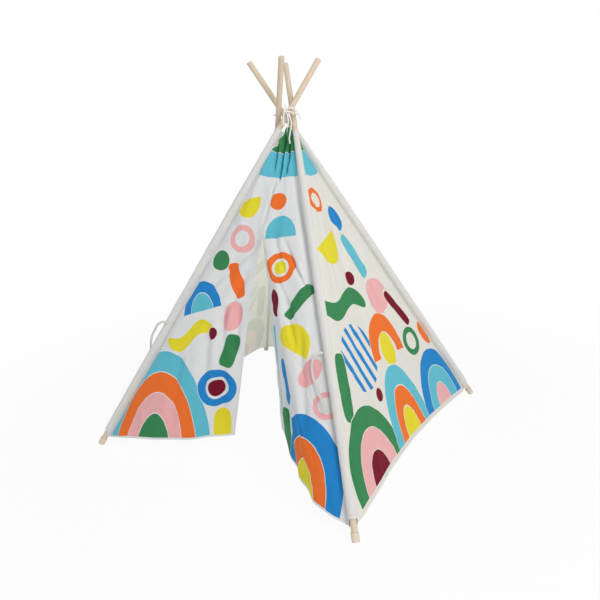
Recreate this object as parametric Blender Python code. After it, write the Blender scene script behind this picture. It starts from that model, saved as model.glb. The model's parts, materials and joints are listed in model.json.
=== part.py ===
"""Play tent: four wooden poles threaded on one cord, sleeved canvas walls and a slit door.

The poles lean on each other in a ring where they cross. A cord runs through a cross hole
in each of them and is tied in a bow at the front, and each pole turns about the cord when
the tent is folded. The row frame has +Z up, its origin on the floor under the crossing,
and the door faces -Y. Lengths are in metres.
"""

import math
from dataclasses import dataclass

import bmesh
import bpy
import numpy as np
from mathutils import Matrix, Vector

# Stance of the poles
BASE_SPAN = 1.200  # between the feet of two neighbouring poles
PIVOT_HEIGHT = 1.316  # height of the cord holes over the floor
POLE_GAP = 0.0160  # clear space between neighbouring poles where the slack cord holds them

# Poles, in three plug-together sections
POLE_DIA = 0.022
SECTION_LENGTH = 0.600
SECTION_GAP = 0.0003
SECTION_CHAMFER = 0.0012
POLE_SIDES = 24

# Metal ferrules over the joints of the sections
FERRULE_LENGTH = 0.080
FERRULE_WALL = 0.0010
FERRULE_CLEAR = 0.0003

# Soft foot caps, worn flat where they stand
CAP_START = 0.0045  # from the floor to the underside, along the pole
CAP_LENGTH = 0.028
CAP_WALL = 0.0020
CAP_FLOOR = 0.0040
CAP_CLEAR = 0.0003
CAP_RIM = 0.0008
CAP_RIM_LENGTH = 0.0045
CAP_EDGE = 0.0010

# Cord through the poles, knot and bow
CORD_DIA = 0.0055
CORD_HOLE_DIA = 0.0080
CORD_SELF_GAP = 0.0008
CORD_WRAP_TURNS = 1.75
KNOT_RIGHT = -0.0095  # from the middle of the crossing to the knot, to its right
CORD_STEP = 0.0045  # between two points of the tube
CORD_BREAK = 0.0004

# Canvas sleeves on the poles
SLEEVE_START = 0.073  # outer lower lip, along the pole
SLEEVE_BELOW_PIVOT = 0.066
SLEEVE_WALL = 0.0010
SLEEVE_CLEAR = 0.0006
SLEEVE_EASE = 0.0046  # how much wider the flat sleeve is than it is deep, each side
SLEEVE_SIDES = 16

# Canvas walls
CLOTH_THICK = 0.0012
SEAM_GAP = 0.0006
CREASE_GAP = 0.0010  # between the two halves of a wall
HINGE_CLEAR = 0.0003  # from a flap's edge to its hinge line
SEAM_TURN = math.radians(25)  # where the wall meets the sleeve, from its side inwards
CORNER_START = 0.050  # lower corners of the walls, along the pole
WALL_HEM_RISE = 0.032  # how far the hem climbs to the middle of a side wall, along the slope
TOP_BELOW_PIVOT = 0.072
WALL_SAG = 0.024
FOLD_DEPTH = 0.0050
DOOR_FOLD_DEPTH = 0.0042
WALL_ROWS = 11
HALF_COLUMNS = 8
# The side walls: name, their two poles in order, and where their folds begin
WALLS = (("right", "fr", "br", 0.7), ("back", "br", "bl", 2.1), ("left", "bl", "fl", 4.0))

# Door
SLIT_TOP_HEIGHT = 0.875
DOOR_HEM_RISE = 0.090  # how far the hem climbs to the middle of the door, along the slope
FLAP_HINGE_INSET = 0.075  # hinge line to the seam, at the hem
FLAP_MIDDLE_GAP = 0.0010
FLAP_TOP_SHARE = 0.02
FLAP_ROWS = 12
FLAP_COLUMNS = 10
FLAP_WAVE = 0.0070
CORNER_FROM = 0.55  # where a flap's hem starts to climb to its free corner, of its width
LEFT_CORNER_RISE = 0.006
RIGHT_CORNER_RISE = 0.055
LEFT_SWING = math.radians(54)
LEFT_BEND_WIDTH = 0.340  # from the hinge line, at the hem
LEFT_BEND_TOP = 0.340  # the same at the top of the slit
RIGHT_SWING = math.radians(50)
RIGHT_BEND_WIDTH = 0.080
RIGHT_BEND_TOP = 0.004

# Ribbons that hold the flaps open
TIE_START = SECTION_LENGTH + 0.005  # along the pole, just over its lower joint
TIE_WIDTH = 0.010
TIE_THICK = 0.0012
TIE_CLEAR = 0.0008
TIE_STEP = 0.007

UP = Vector((0, 0, 1))
CORNERS = ("fl", "fr", "br", "bl")
AZIMUTHS = {"fl": 225, "fr": 315, "br": 45, "bl": 135}


# Small vector tools


def smooth(x: float) -> float:
    """0 at 0, 1 at 1, level at both ends."""
    x = max(0.0, min(1.0, x))
    return x * x * (3 - 2 * x)


def mix(a: Vector, b: Vector, share: float) -> Vector:
    """The point that far from a to b."""
    return a + (b - a) * share


def line_distance(p: Vector, u: Vector, q: Vector, v: Vector) -> float:
    """Distance between two skew lines."""
    n = u.cross(v)
    return abs((q - p).dot(n)) / n.length


def through(points: list, step: float) -> list:
    """Points about step apart on a smooth curve through the given points."""
    out = []
    last = len(points) - 1
    for i in range(last):
        p0 = points[max(i - 1, 0)]
        p1 = points[i]
        p2 = points[i + 1]
        p3 = points[min(i + 2, last)]
        count = max(1, round((p2 - p1).length / step))
        for k in range(count):
            t = k / count
            a = p1 * 2
            b = (p2 - p0) * t
            c = (p0 * 2 - p1 * 5 + p2 * 4 - p3) * t**2
            d = (p1 * 3 - p0 - p2 * 3 + p3) * t**3
            out.append((a + b + c + d) * 0.5)
    out.append(points[last])
    return out


# Stance of one pole


@dataclass
class Leg:
    """One pole's line and its axes: across (level), inward and along."""

    name: str
    foot: Vector
    pivot: Vector
    across: Vector
    inward: Vector
    along: Vector
    reach: float
    empty: object = None

    def at(self, start: float, p: float = 0.0, q: float = 0.0) -> Vector:
        """The point start along the pole, p across and q outward."""
        return self.foot + self.along * start + self.across * p - self.inward * q


def pole_line(azimuth: float, offset: float) -> tuple:
    """Foot, pivot and direction of a pole whose pivot stands offset beside the middle."""
    out = Vector((math.cos(azimuth), math.sin(azimuth), 0))
    side = UP.cross(out)
    foot = out * BASE_SPAN / math.sqrt(2)
    pivot = UP * PIVOT_HEIGHT + side * offset
    return foot, pivot, (pivot - foot).normalized()


def ring_offset() -> float:
    """The offset at which neighbouring poles just clear each other."""
    low = 0.0
    high = 4 * POLE_DIA
    for _ in range(60):
        middle = (low + high) / 2
        a = pole_line(0.0, middle)
        b = pole_line(math.pi / 2, middle)
        if line_distance(a[0], a[2], b[0], b[2]) < POLE_DIA + POLE_GAP:
            low = middle
        else:
            high = middle
    return high


OFFSET = ring_offset()
CORD_EXIT = OFFSET + POLE_DIA / 2  # where the cord leaves the wood, from the middle
WOOD_START = CAP_START + CAP_FLOOR + CAP_CLEAR
FERRULE_RADIUS = POLE_DIA / 2 + FERRULE_CLEAR + FERRULE_WALL
SLEEVE_DEEP = FERRULE_RADIUS + SLEEVE_CLEAR + SLEEVE_WALL
SLEEVE_WIDE = SLEEVE_DEEP + SLEEVE_EASE
HINGE_SPACE = (CLOTH_THICK + HINGE_CLEAR) / 2  # from the wall's edge to the hinge line


def make_leg(name: str) -> Leg:
    """The leg's geometry."""
    foot, pivot, along = pole_line(math.radians(AZIMUTHS[name]), OFFSET)
    side = UP.cross(foot).normalized()
    across = (side - along * side.dot(along)).normalized()
    inward = along.cross(across)
    return Leg(name, foot, pivot, across, inward, along, (pivot - foot).length)


LEGS = {name: make_leg(name) for name in CORNERS}


# Scene helpers


def clear_scene() -> None:
    """An empty scene to start from."""
    for obj in list(bpy.data.objects):
        bpy.data.objects.remove(obj, do_unlink=True)


def make_material(name: str, colour: tuple, rough: float, metal: float = 0.0):
    """A plain Principled material."""
    mat = bpy.data.materials.new(name)
    mat.use_nodes = True
    bsdf = mat.node_tree.nodes["Principled BSDF"]
    bsdf.inputs["Base Color"].default_value = (*colour, 1)
    bsdf.inputs["Roughness"].default_value = rough
    bsdf.inputs["Metallic"].default_value = metal
    mat.diffuse_color = (*colour, 1)
    return mat


def add_empty(name: str, matrix: Matrix, parent=None):
    """An empty at that place in the row frame."""
    empty = bpy.data.objects.new(name, None)
    empty.empty_display_size = 0.05
    bpy.context.scene.collection.objects.link(empty)
    if parent:
        empty.parent = parent
    empty.matrix_world = matrix
    bpy.context.view_layer.update()
    return empty


def add_mesh(name: str, bm, mat, parent=None, place=None, smooth_angle: float = 40):
    """An object from a bmesh. place is its location under its parent; None means that
    the points are in the row frame already."""
    mesh = bpy.data.meshes.new(name)
    bmesh.ops.recalc_face_normals(bm, faces=bm.faces)
    bm.to_mesh(mesh)
    bm.free()
    mesh.shade_smooth()
    mesh.set_sharp_from_angle(angle=math.radians(smooth_angle))
    obj = bpy.data.objects.new(name, mesh)
    bpy.context.scene.collection.objects.link(obj)
    obj.data.materials.append(mat)
    if parent:
        obj.parent = parent
        if place is None:
            obj.matrix_parent_inverse = parent.matrix_world.inverted()
    if place is not None:
        obj.location = place
    return obj


def lathe(profile: list, sides: int, closed: bool = False):
    """A turned solid about Z from (radius, height) pairs, bottom to top on the outside.
    closed joins the last pair to the first, which leaves a bore."""
    bm = bmesh.new()
    rings = []
    for radius, height in profile:
        ring = []
        for k in range(sides):
            turn = 2 * math.pi * k / sides
            ring.append(bm.verts.new((radius * math.cos(turn), radius * math.sin(turn), height)))
        rings.append(ring)
    pairs = list(zip(rings, rings[1:]))
    if closed:
        pairs.append((rings[-1], rings[0]))
    for low, high in pairs:
        for k in range(sides):
            n = (k + 1) % sides
            bm.faces.new((low[k], low[n], high[n], high[k]))
    if not closed:
        bm.faces.new(list(reversed(rings[0])))
        bm.faces.new(rings[-1])
    return bm


def sheet_solid(grid: list, thick: float):
    """A closed sheet of that thickness about a grid of points, rows by columns."""
    p = np.array([[tuple(v) for v in row] for row in grid], float)
    along = np.gradient(p, axis=0)
    side = np.gradient(p, axis=1)
    normal = np.cross(side, along)
    normal /= np.linalg.norm(normal, axis=2, keepdims=True)
    rows, columns = p.shape[:2]
    bm = bmesh.new()
    layers = []
    for sign in (0.5, -0.5):
        q = p + normal * sign * thick
        layers.append([[bm.verts.new(q[i, j]) for j in range(columns)] for i in range(rows)])
    top, low = layers
    for i in range(rows - 1):
        for j in range(columns - 1):
            bm.faces.new((top[i][j], top[i][j + 1], top[i + 1][j + 1], top[i + 1][j]))
            bm.faces.new((low[i][j], low[i + 1][j], low[i + 1][j + 1], low[i][j + 1]))
    border = [(0, j) for j in range(columns - 1)]
    border += [(i, columns - 1) for i in range(rows - 1)]
    border += [(rows - 1, j) for j in range(columns - 1, 0, -1)]
    border += [(i, 0) for i in range(rows - 1, 0, -1)]
    for a, b in zip(border, border[1:] + border[:1]):
        bm.faces.new((top[b[0]][b[1]], top[a[0]][a[1]], low[a[0]][a[1]], low[b[0]][b[1]]))
    return bm


def boolean_cut(obj, cutter) -> None:
    """Cuts obj with cutter."""
    cut = obj.modifiers.new("cut", "BOOLEAN")
    cut.operation = "DIFFERENCE"
    cut.solver = "EXACT"
    cut.object = cutter
    cutter.hide_render = True
    cutter.display_type = "WIRE"


def add_tube(name: str, points: list, diameter: float, mat, sides_level: int = 1):
    """A round cord along the points, which are in the row frame."""
    curve = bpy.data.curves.new(name, "CURVE")
    curve.dimensions = "3D"
    curve.bevel_depth = diameter / 2
    curve.bevel_resolution = sides_level
    curve.use_fill_caps = True
    curve.render_resolution_u = 0
    spline = curve.splines.new("POLY")
    spline.points.add(len(points) - 1)
    for target, p in zip(spline.points, points):
        target.co = (*p, 1)
    obj = bpy.data.objects.new(name, curve)
    bpy.context.scene.collection.objects.link(obj)
    curve.materials.append(mat)
    return obj


# Poles, ferrules and caps


def add_pole(leg: Leg, wood) -> None:
    """The three sections of a pole; the top one has the cord's cross hole."""
    radius = POLE_DIA / 2
    profile = [
        (radius - SECTION_CHAMFER, 0),
        (radius, SECTION_CHAMFER),
        (radius, SECTION_LENGTH - SECTION_CHAMFER),
        (radius - SECTION_CHAMFER, SECTION_LENGTH),
    ]
    for index, part in enumerate(("lower", "middle", "upper")):
        start = WOOD_START + index * (SECTION_LENGTH + SECTION_GAP)
        bm = lathe(profile, POLE_SIDES)
        place = (0, 0, start - leg.reach)
        obj = add_mesh(f"pole_{part}_{leg.name}", bm, wood, leg.empty, place)
        if part == "upper":
            drill = lathe([(CORD_HOLE_DIA / 2, -POLE_DIA), (CORD_HOLE_DIA / 2, POLE_DIA)], 12)
            cutter = add_mesh(f"drill_{leg.name}", drill, wood, leg.empty, (0, 0, 0))
            cutter.rotation_euler = (0, math.pi / 2, 0)
            boolean_cut(obj, cutter)


def add_ferrules(leg: Leg, metal) -> None:
    """Tubes over the two joints of the pole."""
    inner = POLE_DIA / 2 + FERRULE_CLEAR
    half = FERRULE_LENGTH / 2
    profile = [(inner, -half), (FERRULE_RADIUS, -half), (FERRULE_RADIUS, half), (inner, half)]
    for index, part in ((1, "low"), (2, "high")):
        centre = WOOD_START + index * SECTION_LENGTH + (index - 0.5) * SECTION_GAP
        bm = lathe(profile, POLE_SIDES, closed=True)
        add_mesh(f"ferrule_{part}_{leg.name}", bm, metal, leg.empty, (0, 0, centre - leg.reach))


def add_cap(leg: Leg, rubber) -> None:
    """A cup over the foot, flat where it stands on the floor."""
    inner = POLE_DIA / 2 + CAP_CLEAR
    outer = inner + CAP_WALL
    profile = [
        (outer - CAP_EDGE, 0),
        (outer, CAP_EDGE),
        (outer, CAP_LENGTH - CAP_RIM_LENGTH),
        (outer + CAP_RIM, CAP_LENGTH - CAP_RIM_LENGTH + CAP_RIM),
        (outer + CAP_RIM, CAP_LENGTH - CAP_RIM),
        (outer, CAP_LENGTH),
        (inner, CAP_LENGTH),
        (inner, CAP_FLOOR),
    ]
    bm = lathe(profile, POLE_SIDES)
    obj = add_mesh(f"foot_cap_{leg.name}", bm, rubber, leg.empty, (0, 0, CAP_START - leg.reach))
    box = bmesh.new()
    bmesh.ops.create_cube(box, size=4 * POLE_DIA)
    floor = add_mesh(f"floor_{leg.name}", box, rubber, None, leg.foot - UP * 2 * POLE_DIA)
    boolean_cut(obj, floor)


def sleeve_outline(wide: float, deep: float) -> list:
    """Points round the flat sleeve, as (across, outward) pairs."""
    turns = [2 * math.pi * k / SLEEVE_SIDES for k in range(SLEEVE_SIDES)]
    return [(wide * math.cos(t), deep * math.sin(t)) for t in turns]


def add_sleeve(leg: Leg, canvas) -> None:
    """A flat canvas tube on the pole. Its inner layer runs on to the corner of the walls."""
    top = leg.reach - SLEEVE_BELOW_PIVOT
    shells = (
        sleeve_outline(SLEEVE_WIDE, SLEEVE_DEEP),
        sleeve_outline(SLEEVE_WIDE - SLEEVE_WALL, SLEEVE_DEEP - SLEEVE_WALL),
    )
    bm = bmesh.new()
    rings = []
    for shell in shells:
        for level in range(5):
            ring = []
            for p, q in shell:
                lip = smooth(0.5 + q / SLEEVE_DEEP)
                low = CORNER_START + (SLEEVE_START - CORNER_START) * lip
                ring.append(bm.verts.new(leg.at(low + (top - low) * level / 4, p, q)))
            rings.append(ring)
    outer = rings[:5]
    inner = rings[5:]
    order = outer + inner[::-1]
    for low, high in zip(order, order[1:] + order[:1]):
        for k in range(SLEEVE_SIDES):
            n = (k + 1) % SLEEVE_SIDES
            bm.faces.new((low[k], low[n], high[n], high[k]))
    add_mesh(f"sleeve_{leg.name}", bm, canvas, leg.empty)


# Canvas walls


def seam_point(leg: Leg, side: int, start: float) -> Vector:
    """Where a wall meets the sleeve, on the side towards the next pole (1) or the last (-1)."""
    p = (SLEEVE_WIDE + SEAM_GAP) * math.cos(SEAM_TURN)
    q = -(SLEEVE_DEEP + SEAM_GAP) * math.sin(SEAM_TURN)
    return leg.at(start, side * p, q)


def wall_point(first: Leg, last: Leg, w: float, start: float) -> Vector:
    """A point of the flat wall between two poles, w across it."""
    return mix(seam_point(first, 1, start), seam_point(last, -1, start), w)


def wall_normal(first: Leg, last: Leg) -> Vector:
    """The inward normal of a wall."""
    level = seam_point(last, -1, 0) - seam_point(first, 1, 0)
    slope = first.along + last.along
    normal = level.cross(slope).normalized()
    return -normal if normal.dot(first.foot + last.foot) > 0 else normal


def folds(w: float, f: float, phase: float) -> float:
    """Soft folds that run down from the crossing and fade at the seams and the top."""
    window = math.sin(math.pi * w) ** 2
    depth = math.sin(math.pi * (0.15 + 0.75 * (1 - f)))
    wave = 0.6 * math.sin(2 * math.pi * 3 * w + phase)
    wave += 0.4 * math.sin(2 * math.pi * 5 * w - 1.7 * phase + 1.1 * f)
    return FOLD_DEPTH * window * depth * wave


def wall_grid(first: Leg, last: Leg, low: float, high: float, phase: float) -> list:
    """Half a side wall, from low to high across it, with its sag and folds."""
    normal = wall_normal(first, last)
    top = first.reach - TOP_BELOW_PIVOT
    rows = []
    for i in range(WALL_ROWS + 1):
        f = i / WALL_ROWS
        side = CORNER_START + (top - CORNER_START) * f
        row = []
        width = (wall_point(first, last, 1, side) - wall_point(first, last, 0, side)).length
        gap = CREASE_GAP / 2 / width
        a = low + (gap if low > 0 else 0)
        b = high - (gap if high < 1 else 0)
        for j in range(HALF_COLUMNS + 1):
            w = a + (b - a) * j / HALF_COLUMNS
            hem = CORNER_START + WALL_HEM_RISE * math.sin(math.pi * w)
            sag = WALL_SAG * math.sin(math.pi * w) * (1 - f) * (1 + 0.8 * f)
            point = wall_point(first, last, w, hem + (top - hem) * f)
            row.append(point + normal * (sag + folds(w, f, phase)))
        rows.append(row)
    return rows


def add_walls(canvas) -> None:
    """The three side walls, each as the two halves that fold with their poles."""
    for wall, first, last, phase in WALLS:
        for name, low, high in ((first, 0.0, 0.5), (last, 0.5, 1.0)):
            leg = LEGS[name]
            grid = wall_grid(LEGS[first], LEGS[last], low, high, phase)
            bm = sheet_solid(grid, CLOTH_THICK)
            add_mesh(f"canvas_{wall}_{name}", bm, canvas, leg.empty)


# Front wall and door


@dataclass
class Door:
    """Lines of the front wall: its legs, the slit's top and the share of it down there."""

    first: Leg
    last: Leg
    top_start: float
    slit: Vector
    slit_share: float

    def hem_start(self, w: float) -> float:
        """How far up the slope the hem lies, w across the front."""
        return CORNER_START + DOOR_HEM_RISE * math.sin(math.pi * w)

    def hem_point(self, w: float) -> Vector:
        """A point of the hem with the door closed."""
        return wall_point(self.first, self.last, w, self.hem_start(w))

    def hinge_foot(self, side: int) -> Vector:
        """The lower end of a flap's hinge line."""
        width = (self.hem_point(1) - self.hem_point(0)).length
        w = FLAP_HINGE_INSET / width
        return self.hem_point(w if side < 0 else 1 - w)


def make_door() -> Door:
    """The front wall's lines, from its sizes."""
    first = LEGS["fl"]
    last = LEGS["fr"]
    top = first.reach - TOP_BELOW_PIVOT
    low = wall_point(first, last, 0.5, CORNER_START)
    high = wall_point(first, last, 0.5, top)
    share = (SLIT_TOP_HEIGHT - low.z) / (high.z - low.z)
    return Door(first, last, top, mix(low, high, share), share)


def front_grid(door: Door, side: int) -> list:
    """The canvas between a front pole, the middle crease and that side's hinge line."""
    leg = door.first if side < 0 else door.last
    normal = wall_normal(door.first, door.last)
    foot = door.hinge_foot(side)
    edge = 0.0 if side < 0 else 1.0
    rows = []
    for i in range(WALL_ROWS + 2):
        f = i / (WALL_ROWS + 1)
        start = CORNER_START + (door.top_start - CORNER_START) * f
        outer = wall_point(door.first, door.last, edge, start)
        if f >= door.slit_share:
            inner = wall_point(door.first, door.last, 0.5, start)
        else:
            inner = mix(foot, door.slit, f / door.slit_share)
        pull = (inner - outer).normalized() * max(CREASE_GAP / 2, HINGE_SPACE)
        row = []
        for j in range(HALF_COLUMNS):
            share = j / (HALF_COLUMNS - 1)
            point = mix(outer, inner - pull, share)
            wave = math.sin(math.pi * share) ** 2 * math.sin(math.pi * (0.1 + 0.8 * (1 - f)))
            wave *= math.sin(2 * math.pi * 1.5 * share + side + 1.4 * f)
            row.append(point + normal * DOOR_FOLD_DEPTH * wave)
        rows.append(row if side < 0 else row[::-1])
    return rows


def bent(distance: float, swing: float, width: float) -> tuple:
    """Where a point that far from the hinge goes when the cloth turns by swing over width:
    its distance along the closed door and its distance inwards."""
    steps = 24
    x = 0.0
    y = 0.0
    for k in range(steps):
        angle = swing * smooth((k + 0.5) / steps * distance / width)
        x += math.cos(angle) * distance / steps
        y += math.sin(angle) * distance / steps
    return x, y


def flap_grid(door: Door, side: int) -> list:
    """A door flap that hangs inwards from its hinge line."""
    swing = LEFT_SWING if side < 0 else RIGHT_SWING
    bend_low = LEFT_BEND_WIDTH if side < 0 else RIGHT_BEND_WIDTH
    bend_high = LEFT_BEND_TOP if side < 0 else RIGHT_BEND_TOP
    corner_rise = LEFT_CORNER_RISE if side < 0 else RIGHT_CORNER_RISE
    foot = door.hinge_foot(side)
    line = (foot - door.slit).normalized()
    normal = wall_normal(door.first, door.last)
    across = normal.cross(line).normalized()
    middle = door.hem_point(0.5)
    across = across if across.dot(middle - foot) > 0 else -across
    inward = line.cross(across).normalized()
    inward = inward if inward.dot(normal) > 0 else -inward
    hem_width = (door.hem_point(1) - door.hem_point(0)).length
    w_low = FLAP_HINGE_INSET / hem_width
    spare = HINGE_CLEAR + FLAP_MIDDLE_GAP / 2
    rows = []
    for i in range(FLAP_ROWS + 1):
        share = FLAP_TOP_SHARE + (1 - FLAP_TOP_SHARE) * i / FLAP_ROWS
        edge = (middle - door.slit).dot(across) * share
        row = []
        for j in range(FLAP_COLUMNS + 1):
            w = w_low + (0.5 - w_low) * j / FLAP_COLUMNS
            u = j / FLAP_COLUMNS
            hem = door.hem_point(w if side < 0 else 1 - w)
            climb = corner_rise * smooth((u - CORNER_FROM) / (1 - CORNER_FROM)) ** 2
            hem = mix(hem, door.slit, climb / (hem - door.slit).length)
            flat = mix(door.slit, hem, share)
            down = (flat - door.slit).dot(line)
            out = max((flat - door.slit).dot(across), 0.0) * (1 - spare / edge)
            x, y = bent(out, swing, bend_high + (bend_low - bend_high) * share)
            wave = math.sin(2 * math.pi * (1.3 * u + 0.1 * share) + 0.8 * side)
            y += FLAP_WAVE * wave * share * u * (1 - 0.35 * u)
            row.append(door.slit + line * down + across * (x + HINGE_CLEAR) + inward * y)
        rows.append(row)
    return rows[::-1] if side < 0 else [r[::-1] for r in rows[::-1]]


def add_front(canvas) -> None:
    """The front wall's two upper halves and the two door flaps."""
    door = make_door()
    for side, word, name in ((-1, "left", "fl"), (1, "right", "fr")):
        leg = LEGS[name]
        bm = sheet_solid(front_grid(door, side), CLOTH_THICK)
        add_mesh(f"canvas_front_{name}", bm, canvas, leg.empty)
        foot = door.hinge_foot(side)
        line = (door.slit - foot).normalized()
        turn = line.to_track_quat("Z", "Y").to_matrix().to_4x4()
        hinge = add_empty(f"flap_{word}_hinge", Matrix.Translation(foot) @ turn, leg.empty)
        bm = sheet_solid(flap_grid(door, side), CLOTH_THICK)
        add_mesh(f"door_flap_{word}", bm, canvas, hinge)
        axis = [round(c, 5) for c in line]
        print("flap", word, "hinge foot", [round(c, 5) for c in foot], "axis up", axis)


# Cord and bow


def cord_frame() -> tuple:
    """Middle of the crossing, the way to the bow, and the way to its right."""
    front = LEGS["fl"].pivot - UP * PIVOT_HEIGHT
    front.normalize()
    return UP * PIVOT_HEIGHT, front, UP.cross(front)


def cord_route() -> dict:
    """The cord's stretches, each as points in the row frame.

    The closed stretch starts at the wrap of the knot, goes round to the front right pole,
    through it and its opposite, round the back, through the other two poles, and up into
    the wrap. The bow's loop and the two ends go on from there.
    """
    centre, front, right = cord_frame()
    out = CORD_EXIT
    pitch = CORD_DIA + CORD_SELF_GAP
    hump = pitch / 2
    core_front = out + 2 * CORD_DIA + 0.0010
    core_right = KNOT_RIGHT
    wrap_low = 2 * CORD_DIA

    def place(n: float, h: float, z: float) -> Vector:
        return centre + front * n + right * h + UP * z

    def polar(r: float, degrees: float, z: float) -> Vector:
        a = math.radians(degrees)
        return place(r * math.cos(a), r * math.sin(a), z)

    wrap = []
    wrap_points = round(CORD_WRAP_TURNS * 14)
    for k in range(wrap_points + 1):
        turn = -2 * math.pi * CORD_WRAP_TURNS * k / wrap_points
        z = wrap_low + pitch * CORD_WRAP_TURNS * k / wrap_points
        n = core_front + pitch * math.cos(turn)
        wrap.append(place(n, core_right + pitch * math.sin(turn), z))
    round_right = [
        wrap[0],
        polar(core_front + 0.0050, 9, wrap_low - 0.0015),
        polar(out + 0.0100, 24, 0.0040),
        polar(out + 0.0050, 45, 0.0010),
        polar(out + 0.0070, 64, 0),
        polar(out + 0.0078, 75, 0),
        polar(out + 0.0050, 85, 0),
        polar(out + 0.0012, 90, 0),
    ]
    first_run = []
    second_run = []
    reach = OFFSET * 0.45
    for k in range(13):
        r = out * (1 - k / 6)
        rise = hump * math.exp(-((r / reach) ** 2))
        first_run.append(place(0, r, -rise))
        second_run.append(place(-r, 0, rise))
    round_back = [
        polar(out + 0.0012, 270, 0),
        polar(out + 0.0050, 265, 0),
        polar(out + 0.0078, 255, 0),
        polar(out + 0.0070, 243, 0),
        polar(out + 0.0046, 225, 0),
        polar(out + 0.0070, 207, 0),
        polar(out + 0.0078, 195, 0),
        polar(out + 0.0050, 185, 0),
        polar(out + 0.0012, 180, 0),
    ]
    rise_up = [
        place(out + 0.0012, 0, 0),
        place(out + 0.0052, core_right / 2, 0.0008),
        place(core_front - 0.0012, core_right + 0.0010, 0.0045),
        place(core_front, core_right, 0.0100),
        place(core_front, core_right, wrap_low + pitch),
        place(core_front, core_right, wrap_low + pitch * CORD_WRAP_TURNS + CORD_DIA),
    ]
    curve = wrap[::-1]
    curve += through(round_right, CORD_STEP)[1:]
    curve += first_run[1:-1]
    curve += through(round_back, CORD_STEP)
    curve += second_run[1:-1]
    curve += through(rise_up, CORD_STEP)
    top = wrap_low + pitch * CORD_WRAP_TURNS + CORD_DIA + CORD_BREAK
    over = core_front + pitch + CORD_DIA / 2 + CORD_SELF_GAP
    loop = [
        place(core_front, core_right, top),
        place(core_front, core_right, top + 0.0030),
        place(core_front + 0.0050, core_right - 0.0020, top + 0.0074),
        place(over - 0.0005, core_right - 0.0045, top + 0.0030),
        place(over + 0.0015, core_right - 0.0085, wrap_low),
        place(over - 0.0010, core_right - 0.0125, -0.0120),
        place(over - 0.0045, core_right - 0.0138, -0.0260),
        place(over - 0.0060, core_right - 0.0090, -0.0385),
        place(over - 0.0060, core_right - 0.0015, -0.0432),
        place(over - 0.0060, core_right + 0.0052, -0.0385),
        place(over - 0.0060, core_right + 0.0070, -0.0260),
        place(core_front + 0.0025, core_right + 0.0062, -0.0120),
        place(core_front + 0.0015, core_right + 0.0058, wrap_low - CORD_DIA - CORD_SELF_GAP - 0.0015),
    ]
    last = wrap[-1]
    ahead = (wrap[-1] - wrap[-2]).normalized()
    tip_z = wrap_low + pitch * CORD_WRAP_TURNS
    short = [
        last + ahead * CORD_BREAK,
        last + ahead * CORD_DIA,
        place(core_front + 0.0080, 0.0070, tip_z + 0.0030),
        place(core_front + 0.0060, 0.0165, tip_z + 0.0020),
        place(core_front + 0.0030, 0.0270, tip_z - 0.0050),
        place(core_front + 0.0010, 0.0370, tip_z - 0.0170),
        place(core_front, 0.0440, tip_z - 0.0300),
        place(core_front, 0.0485, tip_z - 0.0450),
    ]
    first, last = LEGS["fl"], LEGS["fr"]
    wall_top = first.reach - TOP_BELOW_PIVOT
    off = CLOTH_THICK / 2 + CORD_DIA / 2 + DOOR_FOLD_DEPTH * 0.4
    outward = -wall_normal(first, last)

    def resting(w: float, drop: float) -> Vector:
        return wall_point(first, last, w, wall_top - drop) + outward * off

    long_end = [
        place(core_front + 0.0028, core_right + 0.0112, 0.0036),
        place(core_front + 0.0040, core_right + 0.0141, -0.0090),
        place(core_front + 0.0048, core_right + 0.0168, -0.0240),
        place(core_front + 0.0052, core_right + 0.0188, -0.0400),
        resting(0.83, 0.032),
        resting(0.845, 0.046),
        resting(0.85, 0.060),
    ]
    return {
        "cord_through_poles": curve,
        "cord_bow_loop": through(loop, CORD_STEP),
        "cord_end_short": through(short, 2 * CORD_STEP),
        "cord_end_long": through(long_end, 2 * CORD_STEP),
    }


def least_gap(points: list, diameter: float) -> float:
    """The least clear space of a tube to itself, from points along it."""
    fine = []
    for a, b in zip(points, points[1:]):
        count = max(1, math.ceil((b - a).length / (diameter / 4)))
        fine += [a + (b - a) * k / count for k in range(count)]
    fine.append(points[-1])
    p = np.array([tuple(v) for v in fine])
    run = np.concatenate([[0], np.cumsum(np.linalg.norm(np.diff(p, axis=0), axis=1))])
    apart = np.abs(run[:, None] - run[None, :])
    far = np.linalg.norm(p[:, None] - p[None, :], axis=2)
    return float(far[apart > 2.5 * diameter].min()) - diameter


def add_cord(parent, mat) -> None:
    """The cord as it is tied, in its closed stretch, its loop and its two ends."""
    for name, points in cord_route().items():
        obj = add_tube(name, points, CORD_DIA, mat)
        obj.parent = parent
        obj.matrix_parent_inverse = parent.matrix_world.inverted()
        length = sum((b - a).length for a, b in zip(points, points[1:]))
        gap = least_gap(points, CORD_DIA)
        print(name, len(points), "points,", round(length, 3), "m, least gap", round(gap, 5))


# Ribbons


def ribbon(points: list, faces: list):
    """A flat ribbon along the points; faces gives the way that its flat side looks."""
    rows = []
    for i, point in enumerate(points):
        ahead = points[min(i + 1, len(points) - 1)] - points[max(i - 1, 0)]
        side = ahead.cross(faces[i]).normalized() * TIE_WIDTH / 2
        rows.append([point - side, point + side])
    return sheet_solid(rows, TIE_THICK)


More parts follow.
